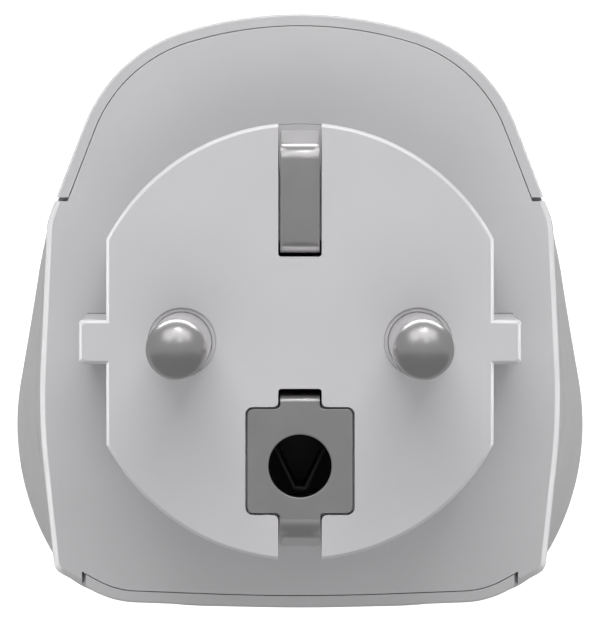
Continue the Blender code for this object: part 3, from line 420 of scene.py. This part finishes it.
def evenly(line, count):
    """The line again with count points, equally spaced."""
    runs = [0.0]
    for a, b in zip(line, line[1:]):
        runs.append(runs[-1] + math.hypot(b[0] - a[0], b[1] - a[1]))
    points, k = [], 0
    for i in range(count):
        want = runs[-1] * i / (count - 1)
        while k < len(line) - 2 and runs[k + 1] < want:
            k += 1
        share = min(1.0, (want - runs[k]) / max(1e-9, runs[k + 1] - runs[k]))
        points.append((line[k][0] + (line[k + 1][0] - line[k][0]) * share,
                       line[k][1] + (line[k + 1][1] - line[k][1]) * share))
    return points


TOP_COUNT, SIDE_COUNT, BOTTOM_COUNT = 60, 72, 44


def runs(y, inset, high, side):
    """Top, side and bottom runs of the right half; the side run spans from height high to width side."""
    points = section(y, inset)
    half = [p for p in points[:len(points) // 2 + 60] if p[0] > 0.0]
    top, flank, foot = [(0.0, half[0][1])], [], []
    stage = 0
    last = top[0]
    for p in half:
        if stage == 0 and p[1] < high:
            share = (last[1] - high) / (last[1] - p[1])
            joint = (last[0] + (p[0] - last[0]) * share, high)
            top.append(joint)
            flank.append(joint)
            stage = 1
        if stage == 1 and p[1] < 0 and p[0] < side:
            share = (last[0] - side) / (last[0] - p[0])
            joint = (side, last[1] + (p[1] - last[1]) * share)
            flank.append(joint)
            foot.append(joint)
            stage = 2
        (top, flank, foot)[stage].append(p)
        last = p
    foot.append((0.0, foot[-1][1]))
    return evenly(top, TOP_COUNT), evenly(flank, SIDE_COUNT), evenly(foot, BOTTOM_COUNT)


def mirrored(line):
    return [(-u, v) for u, v in reversed(line)]


def whole(y, inset, high, side):
    """Closed outline starting at the top and going round by the right."""
    top, flank, foot = runs(y, inset, high, side)
    half = top + flank[1:] + foot[1:]
    return half + mirrored(half)[1:-1]


HIGH, SIDE = LIP_TOP_END + SLIT, LIP_BOTTOM_END - SLIT
print("outline points", len(whole(REAR, 0.0, HIGH, SIDE)))

# %% [markdown]
# ## Front half of the housing
# One moulding: the bulged wall, the flat front with its openings, and two thin lips that reach back over the rear
# cover. The wall has real thickness, so the slits at the lips' ends are dark because they are deep.

# %% Front housing
shutter_low, shutter_high = reach("shutter")
OUTLET_Z = (shutter_low[2] + shutter_high[2]) / 2
OUTLET_OUTER = cup_high[0]
button_low, button_high = reach("push_button")
light_low, light_high = reach("light_guide")
BUTTON_Z = (button_low[2] + button_high[2]) / 2
LIGHT_AT = ((light_low[0] + light_high[0]) / 2, (light_low[2] + light_high[2]) / 2)
SKIRT_END = SKIRT + 0.3
WALL = 1.7

form = bmesh.new()
outer = lay(form, whole(SKIRT_END, 0.0, HIGH, SIDE), SKIRT_END)
depths = [SKIRT_END + (REAR + BULGE_DEPTH - SKIRT_END) * i / 18 for i in range(1, 19)]
depths += [REAR + BULGE_DEPTH + (FRONT - FRONT_EDGE - REAR - BULGE_DEPTH) * i / 6 for i in range(1, 7)]
for y in depths:
    outer = carry(form, outer, whole(y, 0.0, HIGH, SIDE), y)
for i in range(1, 13):
    a = math.pi / 2 * i / 12
    y = FRONT - FRONT_EDGE * (1 - math.sin(a))
    outer = carry(form, outer, whole(y, FRONT_EDGE * (1 - math.cos(a)), HIGH, SIDE), y)
outer = carry(form, outer, whole(FRONT, FRONT_EDGE + 0.12, HIGH, SIDE), FRONT)
openings = [circle(0, OUTLET_Z, OUTLET_OUTER + 0.2, 160),
            stadium(0, BUTTON_Z, (button_high[0] - button_low[0]) / 2 + 0.2, 2.2),
            circle(*LIGHT_AT, 1.4, 40)]
collars = []
for points in openings:
    collars.append(lay(form, points, FRONT))
fill(form, outer, *collars)
inner_face = []
for collar, points in zip(collars, openings):
    inner_face.append(carry(form, collar, points, FRONT - WALL))
inside = lay(form, whole(SKIRT_END, LIP - LIP_GAP, HIGH, SIDE), SKIRT_END)
inner = carry(form, inside, whole(SKIRT_END, WALL, HIGH, SIDE), SKIRT_END)
for y in depths[::3] + [FRONT - WALL]:
    inner = carry(form, inner, whole(y, WALL, HIGH, SIDE), y)
fill(form, inner, *inner_face)
flank = runs(SKIRT_END, 0.0, HIGH, SIDE)[1]
inset_flank = runs(SKIRT_END, LIP - LIP_GAP, HIGH, SIDE)[1]
for rim, inner_rim in ((flank, inset_flank), (mirrored(flank), mirrored(inset_flank))):
    strip = lay(form, rim, SKIRT_END, closed=False)
    carry(form, strip, inner_rim, SKIRT_END, closed=False)
lip_rows = [(SKIRT_END - (SKIRT_END - REAR - LIP_EDGE - 0.3) * i / 6, 0.0) for i in range(7)]
lip_rows += list(reversed(chamfer(LIP_EDGE, REAR)))
lip_rows += [(REAR, LIP - LIP_GAP - 0.06), (REAR, LIP - LIP_GAP - 0.02), (REAR + 0.02, LIP - LIP_GAP)]
lip_rows += [(REAR + 2.0, LIP - LIP_GAP), (SKIRT_END, LIP - LIP_GAP)]
for k in (0, 2):
    chain = None
    for y, inset in lip_rows:
        line = runs(y, inset, HIGH, SIDE)[k]
        line = mirrored(line) + line[1:] if k == 0 else line + mirrored(line)[1:]
        if chain is None:
            chain = lay(form, line, y, closed=False)
        else:
            chain = carry(form, chain, line, y, closed=False)
bmesh.ops.remove_doubles(form, verts=form.verts, dist=2e-7)
rims = [e for e in form.edges if e.is_boundary]
bmesh.ops.holes_fill(form, edges=rims, sides=0)
finished("front_shell", form, "shell_plastic", "housing", ["front_housing"], weld=True)

# %% [markdown]
# ## Rear cover
# The cover is a flat plate with a short skirt. Between the lips it reaches the outer surface of the housing, and
# its edge is rounded there; under the lips it steps in by the lip's thickness, which leaves only a hairline joint.

# %% Rear cover
PLUG_R, PLUG_FLAT, PLUG_TAB, TAB_HALF = 17.65, 15.6, 17.8, 1.785
OPENING_GAP, PLATE, SKIRT_WALL = 0.04, 2.2, 2.6


def plug_half(grow, steps=48):
    """Right half of the plug outline without its ends: arc, flat, tab, flat, arc."""
    radius, flat, tab, height = PLUG_R + grow, PLUG_FLAT + grow, PLUG_TAB + grow, TAB_HALF + grow
    start = math.degrees(math.acos(flat / radius))
    upper = arc(0, 0, radius, 90, start, steps)
    lower = arc(0, 0, radius, -start, -90, steps)
    return upper, [(flat, height), (tab, height), (tab, -height), (flat, -height)], lower


def plug_outline(grow):
    upper, tab, lower = plug_half(grow)
    half = upper + tab + lower
    return half + mirrored(half)[1:-1]


def cover_outline(y, drop):
    """The cover's edge: lip run, step out, side run, step in, foot run."""
    top, _, foot = runs(REAR, LIP + max(0.0, drop - EDGE + 0.03) * 0.6, LIP_TOP_END, LIP_BOTTOM_END)
    _, flank, _ = runs(y, drop, LIP_TOP_END, LIP_BOTTOM_END)
    half = top + flank + foot
    return half + mirrored(half)[1:-1]


form = bmesh.new()
rows = chamfer(EDGE, REAR)
rows += [(REAR + EDGE + 0.1 + (SKIRT - REAR - EDGE - 0.1) * i / 5, 0.0) for i in range(1, 6)]
edge = lay(form, cover_outline(*rows[0]), rows[0][0])
first = edge
for y, drop in rows[1:]:
    edge = carry(form, edge, cover_outline(y, drop), y)
edge = carry(form, edge, cover_outline(SKIRT, SKIRT_WALL), SKIRT)
edge = carry(form, edge, cover_outline(REAR + PLATE, SKIRT_WALL), REAR + PLATE)
hole_rows = [(REAR, plug_outline(OPENING_GAP + 0.05)), (REAR + 0.02, plug_outline(OPENING_GAP + 0.015)),
             (REAR + 0.06, plug_outline(OPENING_GAP)), (REAR + PLATE, plug_outline(OPENING_GAP))]
hole = lay(form, hole_rows[0][1], REAR)
fill(form, first, hole)
for y, points in hole_rows[1:]:
    hole = carry(form, hole, points, y)
fill(form, edge, hole)
finished("cover_shell", form, "shell_plastic", "housing", ["rear_cover"], weld=True)

# %% [markdown]
# ## Plug body
# The round plug has two flats with a guide tab each, a rounded rim, and two slots where the earth clips run in from
# the rim. Around each pin there is a shallow ring. It is drawn in three layers that follow the slot depths.

# %% Plug body
pin_low, pin_high = reach("pin_right")
PIN_X = (pin_low[0] + pin_high[0]) / 2
PIN_R = (pin_high[0] - pin_low[0]) / 2
RIM = 0.28
SLOT = 1.75
NOTCH_TOP_END, NOTCH_DEPTH = 6.85, 16.0
CLIP_ROOT, CLIP_THICKNESS, CLIP_RECESS = 15.7, 0.7, 0.35
SEAT_X, SEAT_LOW, SEAT_HIGH, TAB_TOP = 4.40, -13.94, -5.23, -3.76
SLOT_FLOOR = PLUG_FACE + 1.8


def slotted(grow, top_end, foot):
    """Plug outline with a slot in from the top down to top_end, and foot as the path of the lower opening."""
    radius, flat, tab, height = PLUG_R + grow, PLUG_FLAT + grow, PLUG_TAB + grow, TAB_HALF + grow
    start = math.degrees(math.acos(flat / radius))
    slot_angle = math.degrees(math.asin(SLOT / radius))
    half = [(0.0, top_end), (SLOT - 0.3, top_end)] + fillet((0, top_end), (SLOT, top_end), (SLOT, 99), 0.25, 4)
    half += arc(0, 0, radius, 90 - slot_angle, start, 72)
    half += [(flat, height), (tab - 0.2, height), (tab, height - 0.2), (tab, 0.2 - height), (tab - 0.2, -height),
             (flat, -height)]
    half += arc(0, 0, radius, -start, -90 + slot_angle, 72)
    half += foot
    return half + mirrored(half)[1:-1]


seat_foot = fillet((SLOT, -20), (SLOT, SEAT_LOW), (SEAT_X, SEAT_LOW), 0.45, 6)
seat_foot += fillet((SLOT, SEAT_LOW), (SEAT_X, SEAT_LOW), (SEAT_X, SEAT_HIGH), 0.6, 8)
seat_foot += fillet((SEAT_X, SEAT_LOW), (SEAT_X, SEAT_HIGH), (SLOT, SEAT_HIGH), 0.6, 8)
seat_foot += fillet((SEAT_X, SEAT_HIGH), (SLOT, SEAT_HIGH), (SLOT, TAB_TOP), 0.45, 6)
seat_foot += fillet((SLOT, SEAT_HIGH), (SLOT, TAB_TOP), (0, TAB_TOP), 0.25, 4) + [(0.0, TAB_TOP)]
deep_foot = [(SLOT, -CLIP_ROOT + 2.2), (0.0, -CLIP_ROOT + 2.2)]

form = bmesh.new()
face_rows = [(y, slotted(-drop, NOTCH_TOP_END, seat_foot)) for y, drop in chamfer(RIM, PLUG_FACE)]
face_rows += [(SLOT_FLOOR, slotted(0, NOTCH_TOP_END, seat_foot))]
ring_rows = []
for side in (-1, 1):
    steps = [(0.0, 2.84), (0.0, 2.80), (0.015, 2.76), (0.05, 2.735), (0.12, 2.73), (0.15, 2.71), (0.16, 2.68),
             (0.16, PIN_R + 0.09), (0.17, PIN_R + 0.05), (0.20, PIN_R + 0.03), (1.8, PIN_R + 0.03)]
    ring_rows.append([(PLUG_FACE + y, circle(side * PIN_X, 0, radius, 96)) for y, radius in steps])
slab(form, face_rows, *ring_rows)
rear_end = REAR + 2.4
tail_slot = [(-SLOT, NOTCH_TOP_END), (SLOT, NOTCH_TOP_END), (SLOT, 8.15), (-SLOT, 8.15)]
tab_slot = [(-SLOT, -5.98), (SLOT, -5.98), (SLOT, TAB_TOP), (-SLOT, TAB_TOP)]
earth_well = [(-3.2, -13.2), (3.2, -13.2), (3.2, -6.8), (-3.2, -6.8)]
bores = [circle(side * PIN_X, 0, PIN_R + 0.03, 96) for side in (-1, 1)]
floor_walls = [[(SLOT_FLOOR, p), (PLUG_FACE + NOTCH_DEPTH, p)] for p in [tail_slot, tab_slot, earth_well] + bores]
slab(form, [(SLOT_FLOOR, slotted(0, CLIP_ROOT - 2.2, deep_foot)),
            (PLUG_FACE + NOTCH_DEPTH, slotted(0, CLIP_ROOT - 2.2, deep_foot))], *floor_walls)
closed_end = [(PLUG_FACE + NOTCH_DEPTH, plug_outline(0)), (rear_end, plug_outline(0))]
slab(form, closed_end)
finished("plug_shell", form, "plug_plastic", "housing", ["plug_body"], smooth=24)

# %% [markdown]
# ## Plug pins
# Each pin is turned from brass bar and nickel plated: a straight shank with a blunt, well rounded tip.
# The profile is spun about the pin's own axis, and fine marks in its plating run along it.

# %% Pins
def spun(form, profile, u, v, steps=96):
    """Turns a radius and depth profile about an axis along Y."""
    chain = [form.verts.new((radius * MM, y * MM, 0)) for radius, y in profile]
    edges = [form.edges.new((a, b)) for a, b in zip(chain, chain[1:])]
    bmesh.ops.spin(form, geom=chain + edges, cent=(0, 0, 0), axis=(0, 1, 0), angle=math.tau, steps=steps,
                   use_merge=True)
    bmesh.ops.remove_doubles(form, verts=form.verts, dist=1e-7)
    bmesh.ops.recalc_face_normals(form, faces=form.faces)
    bmesh.ops.translate(form, verts=form.verts, vec=(u * MM, 0, v * MM))


TIP = pin_low[1]
DOME = 1.7
for side, node in ((-1, "pin_left"), (1, "pin_right")):
    form = bmesh.new()
    profile = [(0.0, TIP)]
    for i in range(1, 25):
        a = math.pi / 2 * i / 24
        profile.append((PIN_R * math.sin(a), TIP + DOME * (1 - math.cos(a))))
    profile += [(PIN_R, PLUG_FACE - 0.4), (PIN_R, PLUG_FACE + 1.7), (PIN_R, PLUG_FACE + 6.0), (1.8, PLUG_FACE + 6.0),
                (1.8, pin_high[1] - 1.2), (1.0, pin_high[1] - 1.2), (1.0, pin_high[1]), (0.0, pin_high[1])]
    spun(form, profile, side * PIN_X, 0)
    finished("turned_" + node, form, "nickel_plate", "housing", [node])

# %% [markdown]
# ## Earth clips and earth plate
# The clips are blanked from thin sheet and folded: a bowed contact along the rim, a tight bend over the plug's
# edge, a run down the face and a tail into the plug. The lower one ends in the plate with the earth hole.

# %% Earth clips
clip_high = reach("earth_clip_top")[1]
CLIP_HALF = clip_high[0]
TAIL = clip_high[1]
CLIP_FACE = CLIP_RECESS + CLIP_THICKNESS / 2


def clip_line(sign, inner_end, tail_end):
    half = CLIP_THICKNESS / 2
    crest, root = 17.2 - half, CLIP_ROOT + 0.3 - half
    path = [(15.2, root - 1.2, 0), (14.6, root - 0.8, 0.6), (9.0, crest, 3.5), (3.6, root + 0.05, 2.6),
            (CLIP_FACE, root, 1.05), (CLIP_FACE, inner_end, 0.62), (tail_end, inner_end, 0)]
    return [(y, z * sign, r) for y, z, r in path]


def strip_of(form, path, thickness, low, high, axis="X"):
    outline = bent_strip(path, thickness)
    slab(form, [(low, outline), (high, outline)], axis=axis)


form = bmesh.new()
strip_of(form, clip_line(1, 7.5, TAIL), CLIP_THICKNESS, -CLIP_HALF, CLIP_HALF)
ease(form, 0.09)
finished("folded_clip_top", form, "nickel_plate", "housing", ["earth_clip_top"])

EARTH_Z, EARTH_R = -10.0, 2.53
half = CLIP_THICKNESS / 2
contact_line = clip_line(-1, 13.9, CLIP_FACE)[:5] + [(CLIP_FACE, -14.3, 0)]
TAIL_SHEET = 0.5
tail_face = CLIP_RECESS + TAIL_SHEET / 2
tail_line = [(tail_face, -4.9, 0), (tail_face, -4.6, 0.28), (TAIL, -4.6, 0)]
form = bmesh.new()
strip_of(form, contact_line, CLIP_THICKNESS, -CLIP_HALF, CLIP_HALF)
strip_of(form, tail_line, TAIL_SHEET, -CLIP_HALF, CLIP_HALF)
ease(form, 0.09)


def plate_outline(inset):
    """The plate with the roots of its tab and of the contact strip, softened at every corner."""
    x, high, low, stub = 4.25 - inset, -5.38 - inset, -13.79 + inset, CLIP_HALF - inset
    right = [(stub, -4.9)]
    right += fillet((stub, -4.9), (stub, high), (x, high), 0.38 + inset, 6)
    right += fillet((stub, high), (x, high), (x, low), 0.5 - inset, 8)
    right += fillet((x, high), (x, low), (stub, low), 0.5 - inset, 8)
    right += fillet((x, low), (stub, low), (stub, -14.3), 0.38 + inset, 6) + [(stub, -14.3)]
    return right + mirrored(right)


edge_rows = [(CLIP_RECESS - 0.01, 0.12), (CLIP_RECESS - 0.01, 0.08), (CLIP_RECESS + 0.01, 0.03),
             (CLIP_RECESS + 0.06, 0.0), (CLIP_RECESS + CLIP_THICKNESS, 0.0)]
slab(form, [(y, plate_outline(i)) for y, i in edge_rows],
     [(y, circle(0, EARTH_Z, EARTH_R + i, 96)) for y, i in edge_rows])
finished("folded_clip_bottom", form, "nickel_plate", "housing", ["earth_clip_bottom"])

# The leaf and the disc behind it are near-black metal, painted shade deep inside the earth hole.
leaf = [(-2.3, EARTH_Z + 1.7, 0), (-0.45, EARTH_Z - 2.1, 0.25), (0.45, EARTH_Z - 2.1, 0.25), (2.3, EARTH_Z + 1.7, 0)]
form = bmesh.new()
outline = bent_strip(leaf, 0.3, 6)
slab(form, [(5.5, outline), (15.0, outline)])
ease(form, 0.05)
slab(form, [(14.7, circle(0, EARTH_Z, 3.1, 48)), (15.3, circle(0, EARTH_Z, 3.1, 48))])
finished("earth_leaf", form, "dark_nickel", "housing", ["earth_pin_socket"])

# %% [markdown]
# ## Outlet side
# The outlet is a deep round cup with guide ribs at the sides, two pin holes and sprung earth clips at the top and
# bottom. Beside it there is a long button and a small light.

# %% Outlet cup
OUTLET_DEPTH, FLOOR_SHEET, CUP_STEPS = 17.5, 1.8, 160
SEAT = cup_high[1] - OUTLET_DEPTH
FLOOR = SEAT - FLOOR_SHEET
OUTLET_R = OUTLET_OUTER - 1.0
form = bmesh.new()
lip = [(FRONT, 0.35), (FRONT - 0.03, 0.18), (FRONT - 0.12, 0.06), (FRONT - 0.3, 0.0)]
outer_wall = [(y, OUTLET_OUTER - i) for y, i in lip] + [(FLOOR, OUTLET_OUTER)]
inner_wall = [(y, OUTLET_R + i) for y, i in lip] + [(SEAT + 0.4, OUTLET_R)]
inner_wall += [(SEAT + 0.12, OUTLET_R - 0.03), (SEAT, OUTLET_R - 0.12), (SEAT, OUTLET_R - 0.17)]
outer_rows, inner_rows = ([(y, circle(0, OUTLET_Z, radius, CUP_STEPS)) for y, radius in wall]
                          for wall in (outer_wall, inner_wall))
rim_out = lay(form, outer_rows[0][1], FRONT)
rim_in = lay(form, inner_rows[0][1], FRONT)
fill(form, rim_out, rim_in)
for y, points in outer_rows[1:]:
    rim_out = carry(form, rim_out, points, y)
for y, points in inner_rows[1:]:
    rim_in = carry(form, rim_in, points, y)
holes_front, holes_back = [], []
for side in (-1, 1):
    rows = [(SEAT, circle(side * PIN_X, OUTLET_Z, 3.25, 64)), (SEAT - 0.1, circle(side * PIN_X, OUTLET_Z, 3.0, 64)),
            (SEAT - 0.35, circle(side * PIN_X, OUTLET_Z, 2.9, 64)), (FLOOR, circle(side * PIN_X, OUTLET_Z, 2.9, 64))]
    hole = lay(form, rows[0][1], rows[0][0])
    holes_front.append(hole)
    for y, points in rows[1:]:
        hole = carry(form, hole, points, y)
    holes_back.append(hole)
for row in (-1, 1):
    z = sorted((OUTLET_Z + row * 17.5, OUTLET_Z + row * 19.1))
    slot_outline = [(-3.2, z[0]), (3.2, z[0]), (3.2, z[1]), (-3.2, z[1])]
    hole = lay(form, slot_outline, SEAT)
    holes_front.append(hole)
    holes_back.append(carry(form, hole, slot_outline, FLOOR))
fill(form, rim_in, *holes_front)
fill(form, rim_out, *holes_back)
cup = bmesh.new()
join(cup, form)
for side in (-1, 1):
    for row in (-1, 1):
        near, far = OUTLET_R - 3.3, OUTLET_R + 0.5
        low, high = OUTLET_Z + row * 2.6, OUTLET_Z + row * 5.8
        wide = [(side * near, low), (side * math.sqrt(far ** 2 - 2.6 ** 2), low),
                (side * math.sqrt(far ** 2 - 5.8 ** 2), high), (side * near, high)]
        body = bmesh.new()
        slab(body, [(SEAT - 0.3, wide), (FRONT - 1.2, wide)])
        ease(body, 0.25, 3)
        join(cup, body)
finished("outlet_shell", cup, "outlet_plastic", "housing", ["outlet_cup"])

# %% Outlet earth clips, button and light
for node, row in (("outlet_earth_clip_top", 1), ("outlet_earth_clip_bottom", -1)):
    low, high = reach(node)
    root, crest = OUTLET_R - 1.0, OUTLET_R - 2.7
    path = [(SEAT + 14.0, root - 1.2, 0), (SEAT + 9.5, crest + 0.3, 3.0), (SEAT + 3.2, root, 2.5)]
    if row > 0:
        path += [(low[1] + 0.3, root, 0.5), (low[1] + 0.3, low[2] - OUTLET_Z, 0)]
    else:
        path += [(low[1], root, 0)]
    form = bmesh.new()
    strip_of(form, [(y, OUTLET_Z + row * z, r) for y, z, r in path], 0.6, low[0], high[0])
    ease(form, 0.08)
    finished("bowed_" + node, form, "spring_steel", node, [node])

form = bmesh.new()
half_length, half_height = 4.5, 2.0
top_face = button_high[1]
rows = [(top_face, 0.42), (top_face - 0.03, 0.24), (top_face - 0.1, 0.1), (top_face - 0.25, 0.02),
        (top_face - 0.45, 0.0), (FRONT - 1.9, 0.0)]
slab(form, [(y, stadium(0, BUTTON_Z, half_length - i, half_height - i)) for y, i in rows])
flange = stadium(0, BUTTON_Z, button_high[0], (button_high[2] - button_low[2]) / 2)
slab(form, [(FRONT - 1.9, flange), (FRONT - 2.4, flange)])
slab(form, [(FRONT - 2.4, circle(0, BUTTON_Z, 0.8, 32)), (button_low[1], circle(0, BUTTON_Z, 0.8, 32))])
finished("moulded_button", form, "button_plastic", "push_button", ["push_button"])

form = bmesh.new()
profile = [(0.0, light_high[1]), (0.6, light_high[1] - 0.01), (0.95, light_high[1] - 0.05),
           (1.12, light_high[1] - 0.14), (1.2, light_high[1] - 0.3),
           (1.2, light_low[1] + 0.1), (1.1, light_low[1]), (0.0, light_low[1])]
spun(form, profile, *LIGHT_AT, 48)
finished("light_lens", form, "clear_plastic", "housing", ["light_guide"])

# %% [markdown]
# ## Inner parts
# The boards, relay and contacts inside are the CAD nodes themselves. They keep their shape and take the same kind
# of recipe as the outer pieces, so that they look right when the housing is opened.

# %% Finishes of the inner parts
node_finish = {}
for name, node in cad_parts.items():
    for slot_of in node.material_slots:
        base = slot_of.material.name.split(".")[0] if slot_of.material else ""
        if base in FINISHES:
            slot_of.material = FINISHES[base]
            node_finish[name] = base
        else:
            print("no recipe for", name, base)
print(len(node_finish), "CAD nodes carry a recipe")

# %% [markdown]
# ## Light and camera
# The meter hangs in a white room that only the camera sees. Large soft lights stand above and in front, at both sides
# and on the outlet's side. Gloss is lit apart: lamps linked to the shells or to the metal pieces alone draw the bright
# lines on edges and bends, and a grey card below darkens the lower half of the pins. The camera looks at the plug
# face from a little above, with a long lens.

# %% Studio
def glow(name, strength, colour=(1.0, 1.0, 1.0)):
    material = bpy.data.materials.new(name)
    material.use_nodes = True
    tree = material.node_tree
    tree.nodes.clear()
    out = tree.nodes.new("ShaderNodeOutputMaterial")
    light = tree.nodes.new("ShaderNodeEmission")
    light.inputs["Color"].default_value = (*colour, 1.0)
    light.inputs["Strength"].default_value = strength
    tree.links.new(light.outputs["Emission"], out.inputs["Surface"])
    return material


def panel(name, centre, size, facing, material, box=False):
    form = bmesh.new()
    if box:
        bmesh.ops.create_cube(form, size=1.0)
    else:
        bmesh.ops.create_grid(form, x_segments=1, y_segments=1, size=0.5)
    bmesh.ops.scale(form, vec=(size[0], size[1], size[0]), verts=form.verts)
    turn = Vector(facing).to_track_quat("Z", "Y").to_matrix().to_4x4()
    bmesh.ops.transform(form, matrix=Matrix.Translation(centre) @ turn, verts=form.verts)
    mesh = bpy.data.meshes.new(name)
    form.to_mesh(mesh)
    form.free()
    thing = bpy.data.objects.new(name, mesh)
    thing.data.materials.append(material)
    bpy.context.scene.collection.objects.link(thing)
    return thing


def softbox(name, spot, target, size, power):
    lamp = bpy.data.lights.new(name, "AREA")
    lamp.shape = "RECTANGLE"
    lamp.size, lamp.size_y = size
    lamp.energy = power
    thing = bpy.data.objects.new(name, lamp)
    thing.location = spot
    thing.rotation_euler = (Vector(target) - Vector(spot)).to_track_quat("-Z", "Y").to_euler()
    bpy.context.scene.collection.objects.link(thing)
    return thing


world = bpy.data.worlds.new("studio")
bpy.context.scene.world = world
world.use_nodes = True
world.node_tree.nodes["Background"].inputs["Color"].default_value = (1.0, 1.0, 1.0, 1.0)
world.node_tree.nodes["Background"].inputs["Strength"].default_value = 0.30
room = panel("room", (0, 0, 0), (3.0, 3.0), (0, 0, 1), glow("white_room", 1.3), box=True)
floor = panel("floor", (0, 0, -1.4), (2.9, 2.9), (0, 0, 1), glow("pale_floor", 1.05))
for sheet in (room, floor):
    sheet.visible_diffuse = False
    sheet.visible_glossy = False
    sheet.visible_transmission = False
    sheet.visible_shadow = False
card = panel("dark_card", (0, -0.62, -0.26), (2.4, 1.5), (0, 0, 1), glow("grey_card", 0.18))
card.visible_camera = False
card.visible_diffuse = False
card.visible_transmission = False
card.visible_shadow = False
overhead = softbox("overhead", (0, -0.55, 0.62), (0, 0, 0), (0.7, 0.45), 3.8)
fill_light = softbox("front_fill", (0, -0.90, -0.22), (0, 0, 0), (0.5, 0.4), 1.95)
outlet_light = softbox("outlet_light", (0, 0.95, 0.30), (0, 0, 0), (0.7, 0.45), 4.5)
for lamp in (overhead, fill_light, outlet_light):
    lamp.visible_glossy = False
shells = bpy.data.collections.new("moulded_shells")
for name in ("front_shell", "cover_shell", "plug_shell"):
    shells.objects.link(PIECES[name])
for side in (-1, 1):
    strip = softbox("side_strip", (side * 0.62, -0.02, 0.02), (side * 0.02, 0.02, 0), (0.12, 0.9), 0.66)
    strip.visible_glossy = False
    gleam = softbox("edge_gleam", (side * 0.62, -0.04, 0.02), (side * 0.02, 0.02, 0), (0.30, 0.9), 7.5)
    gleam.visible_diffuse = False
    gleam.light_linking.receiver_collection = shells
rim_gleam = softbox("rim_gleam", (0, -0.10, 0.62), (0, 0, 0), (1.1, 0.25), 7.0)
rim_gleam.visible_diffuse = False
rim_gleam.light_linking.receiver_collection = shells

housings = bpy.data.collections.new("housing_shells")
for name in ("front_shell", "cover_shell"):
    housings.objects.link(PIECES[name])
metals = bpy.data.collections.new("metal_pieces")
for name, piece in PIECES.items():
    if piece.data.materials[0].name in ("nickel_plate", "spring_steel"):
        metals.objects.link(piece)
sheens = (("shell_sheen", (0, -0.55, 0.62), (0.7, 0.45), 4.1, shells),
          ("low_sheen_left", (-0.50, -0.05, -0.32), (0.5, 0.3), 3.5, housings),
          ("low_sheen_right", (0.50, -0.05, -0.32), (0.5, 0.3), 3.5, housings),
          ("metal_sheen", (0, -0.50, 0.55), (1.1, 0.50), 1.0, metals),
          ("metal_gleam", (0, 0.36, 0.62), (1.1, 0.25), 2.2, metals),
          ("metal_spark", (0.05, -0.36, 0.66), (0.16, 0.05), 0.18, metals),
          ("metal_spark_low", (0.10, -0.66, 0.30), (0.06, 0.06), 0.035, metals),
          ("metal_spark_left", (-0.26, -0.62, 0.34), (0.05, 0.12), 0.03, metals))
for name, spot, size, power, receivers in sheens:
    sheen = softbox(name, spot, (0, 0, 0), size, power)
    sheen.visible_diffuse = False
    sheen.light_linking.receiver_collection = receivers

# %% Camera
camera = bpy.data.cameras.new("camera")
camera.sensor_fit = "VERTICAL"
camera.sensor_height = 36.0
camera.lens = 304.6
viewer = bpy.data.objects.new("camera", camera)
DISTANCE, HEIGHT, LOOK_DOWN = 0.420, 0.0138, 1.52
viewer.location = (0.0, -DISTANCE, HEIGHT)
viewer.rotation_euler = (math.radians(90 - LOOK_DOWN), 0.0, 0.0)
bpy.context.scene.collection.objects.link(viewer)
bpy.context.scene.camera = viewer

# %% View transform
bpy.context.scene.view_settings.view_transform = "Standard"
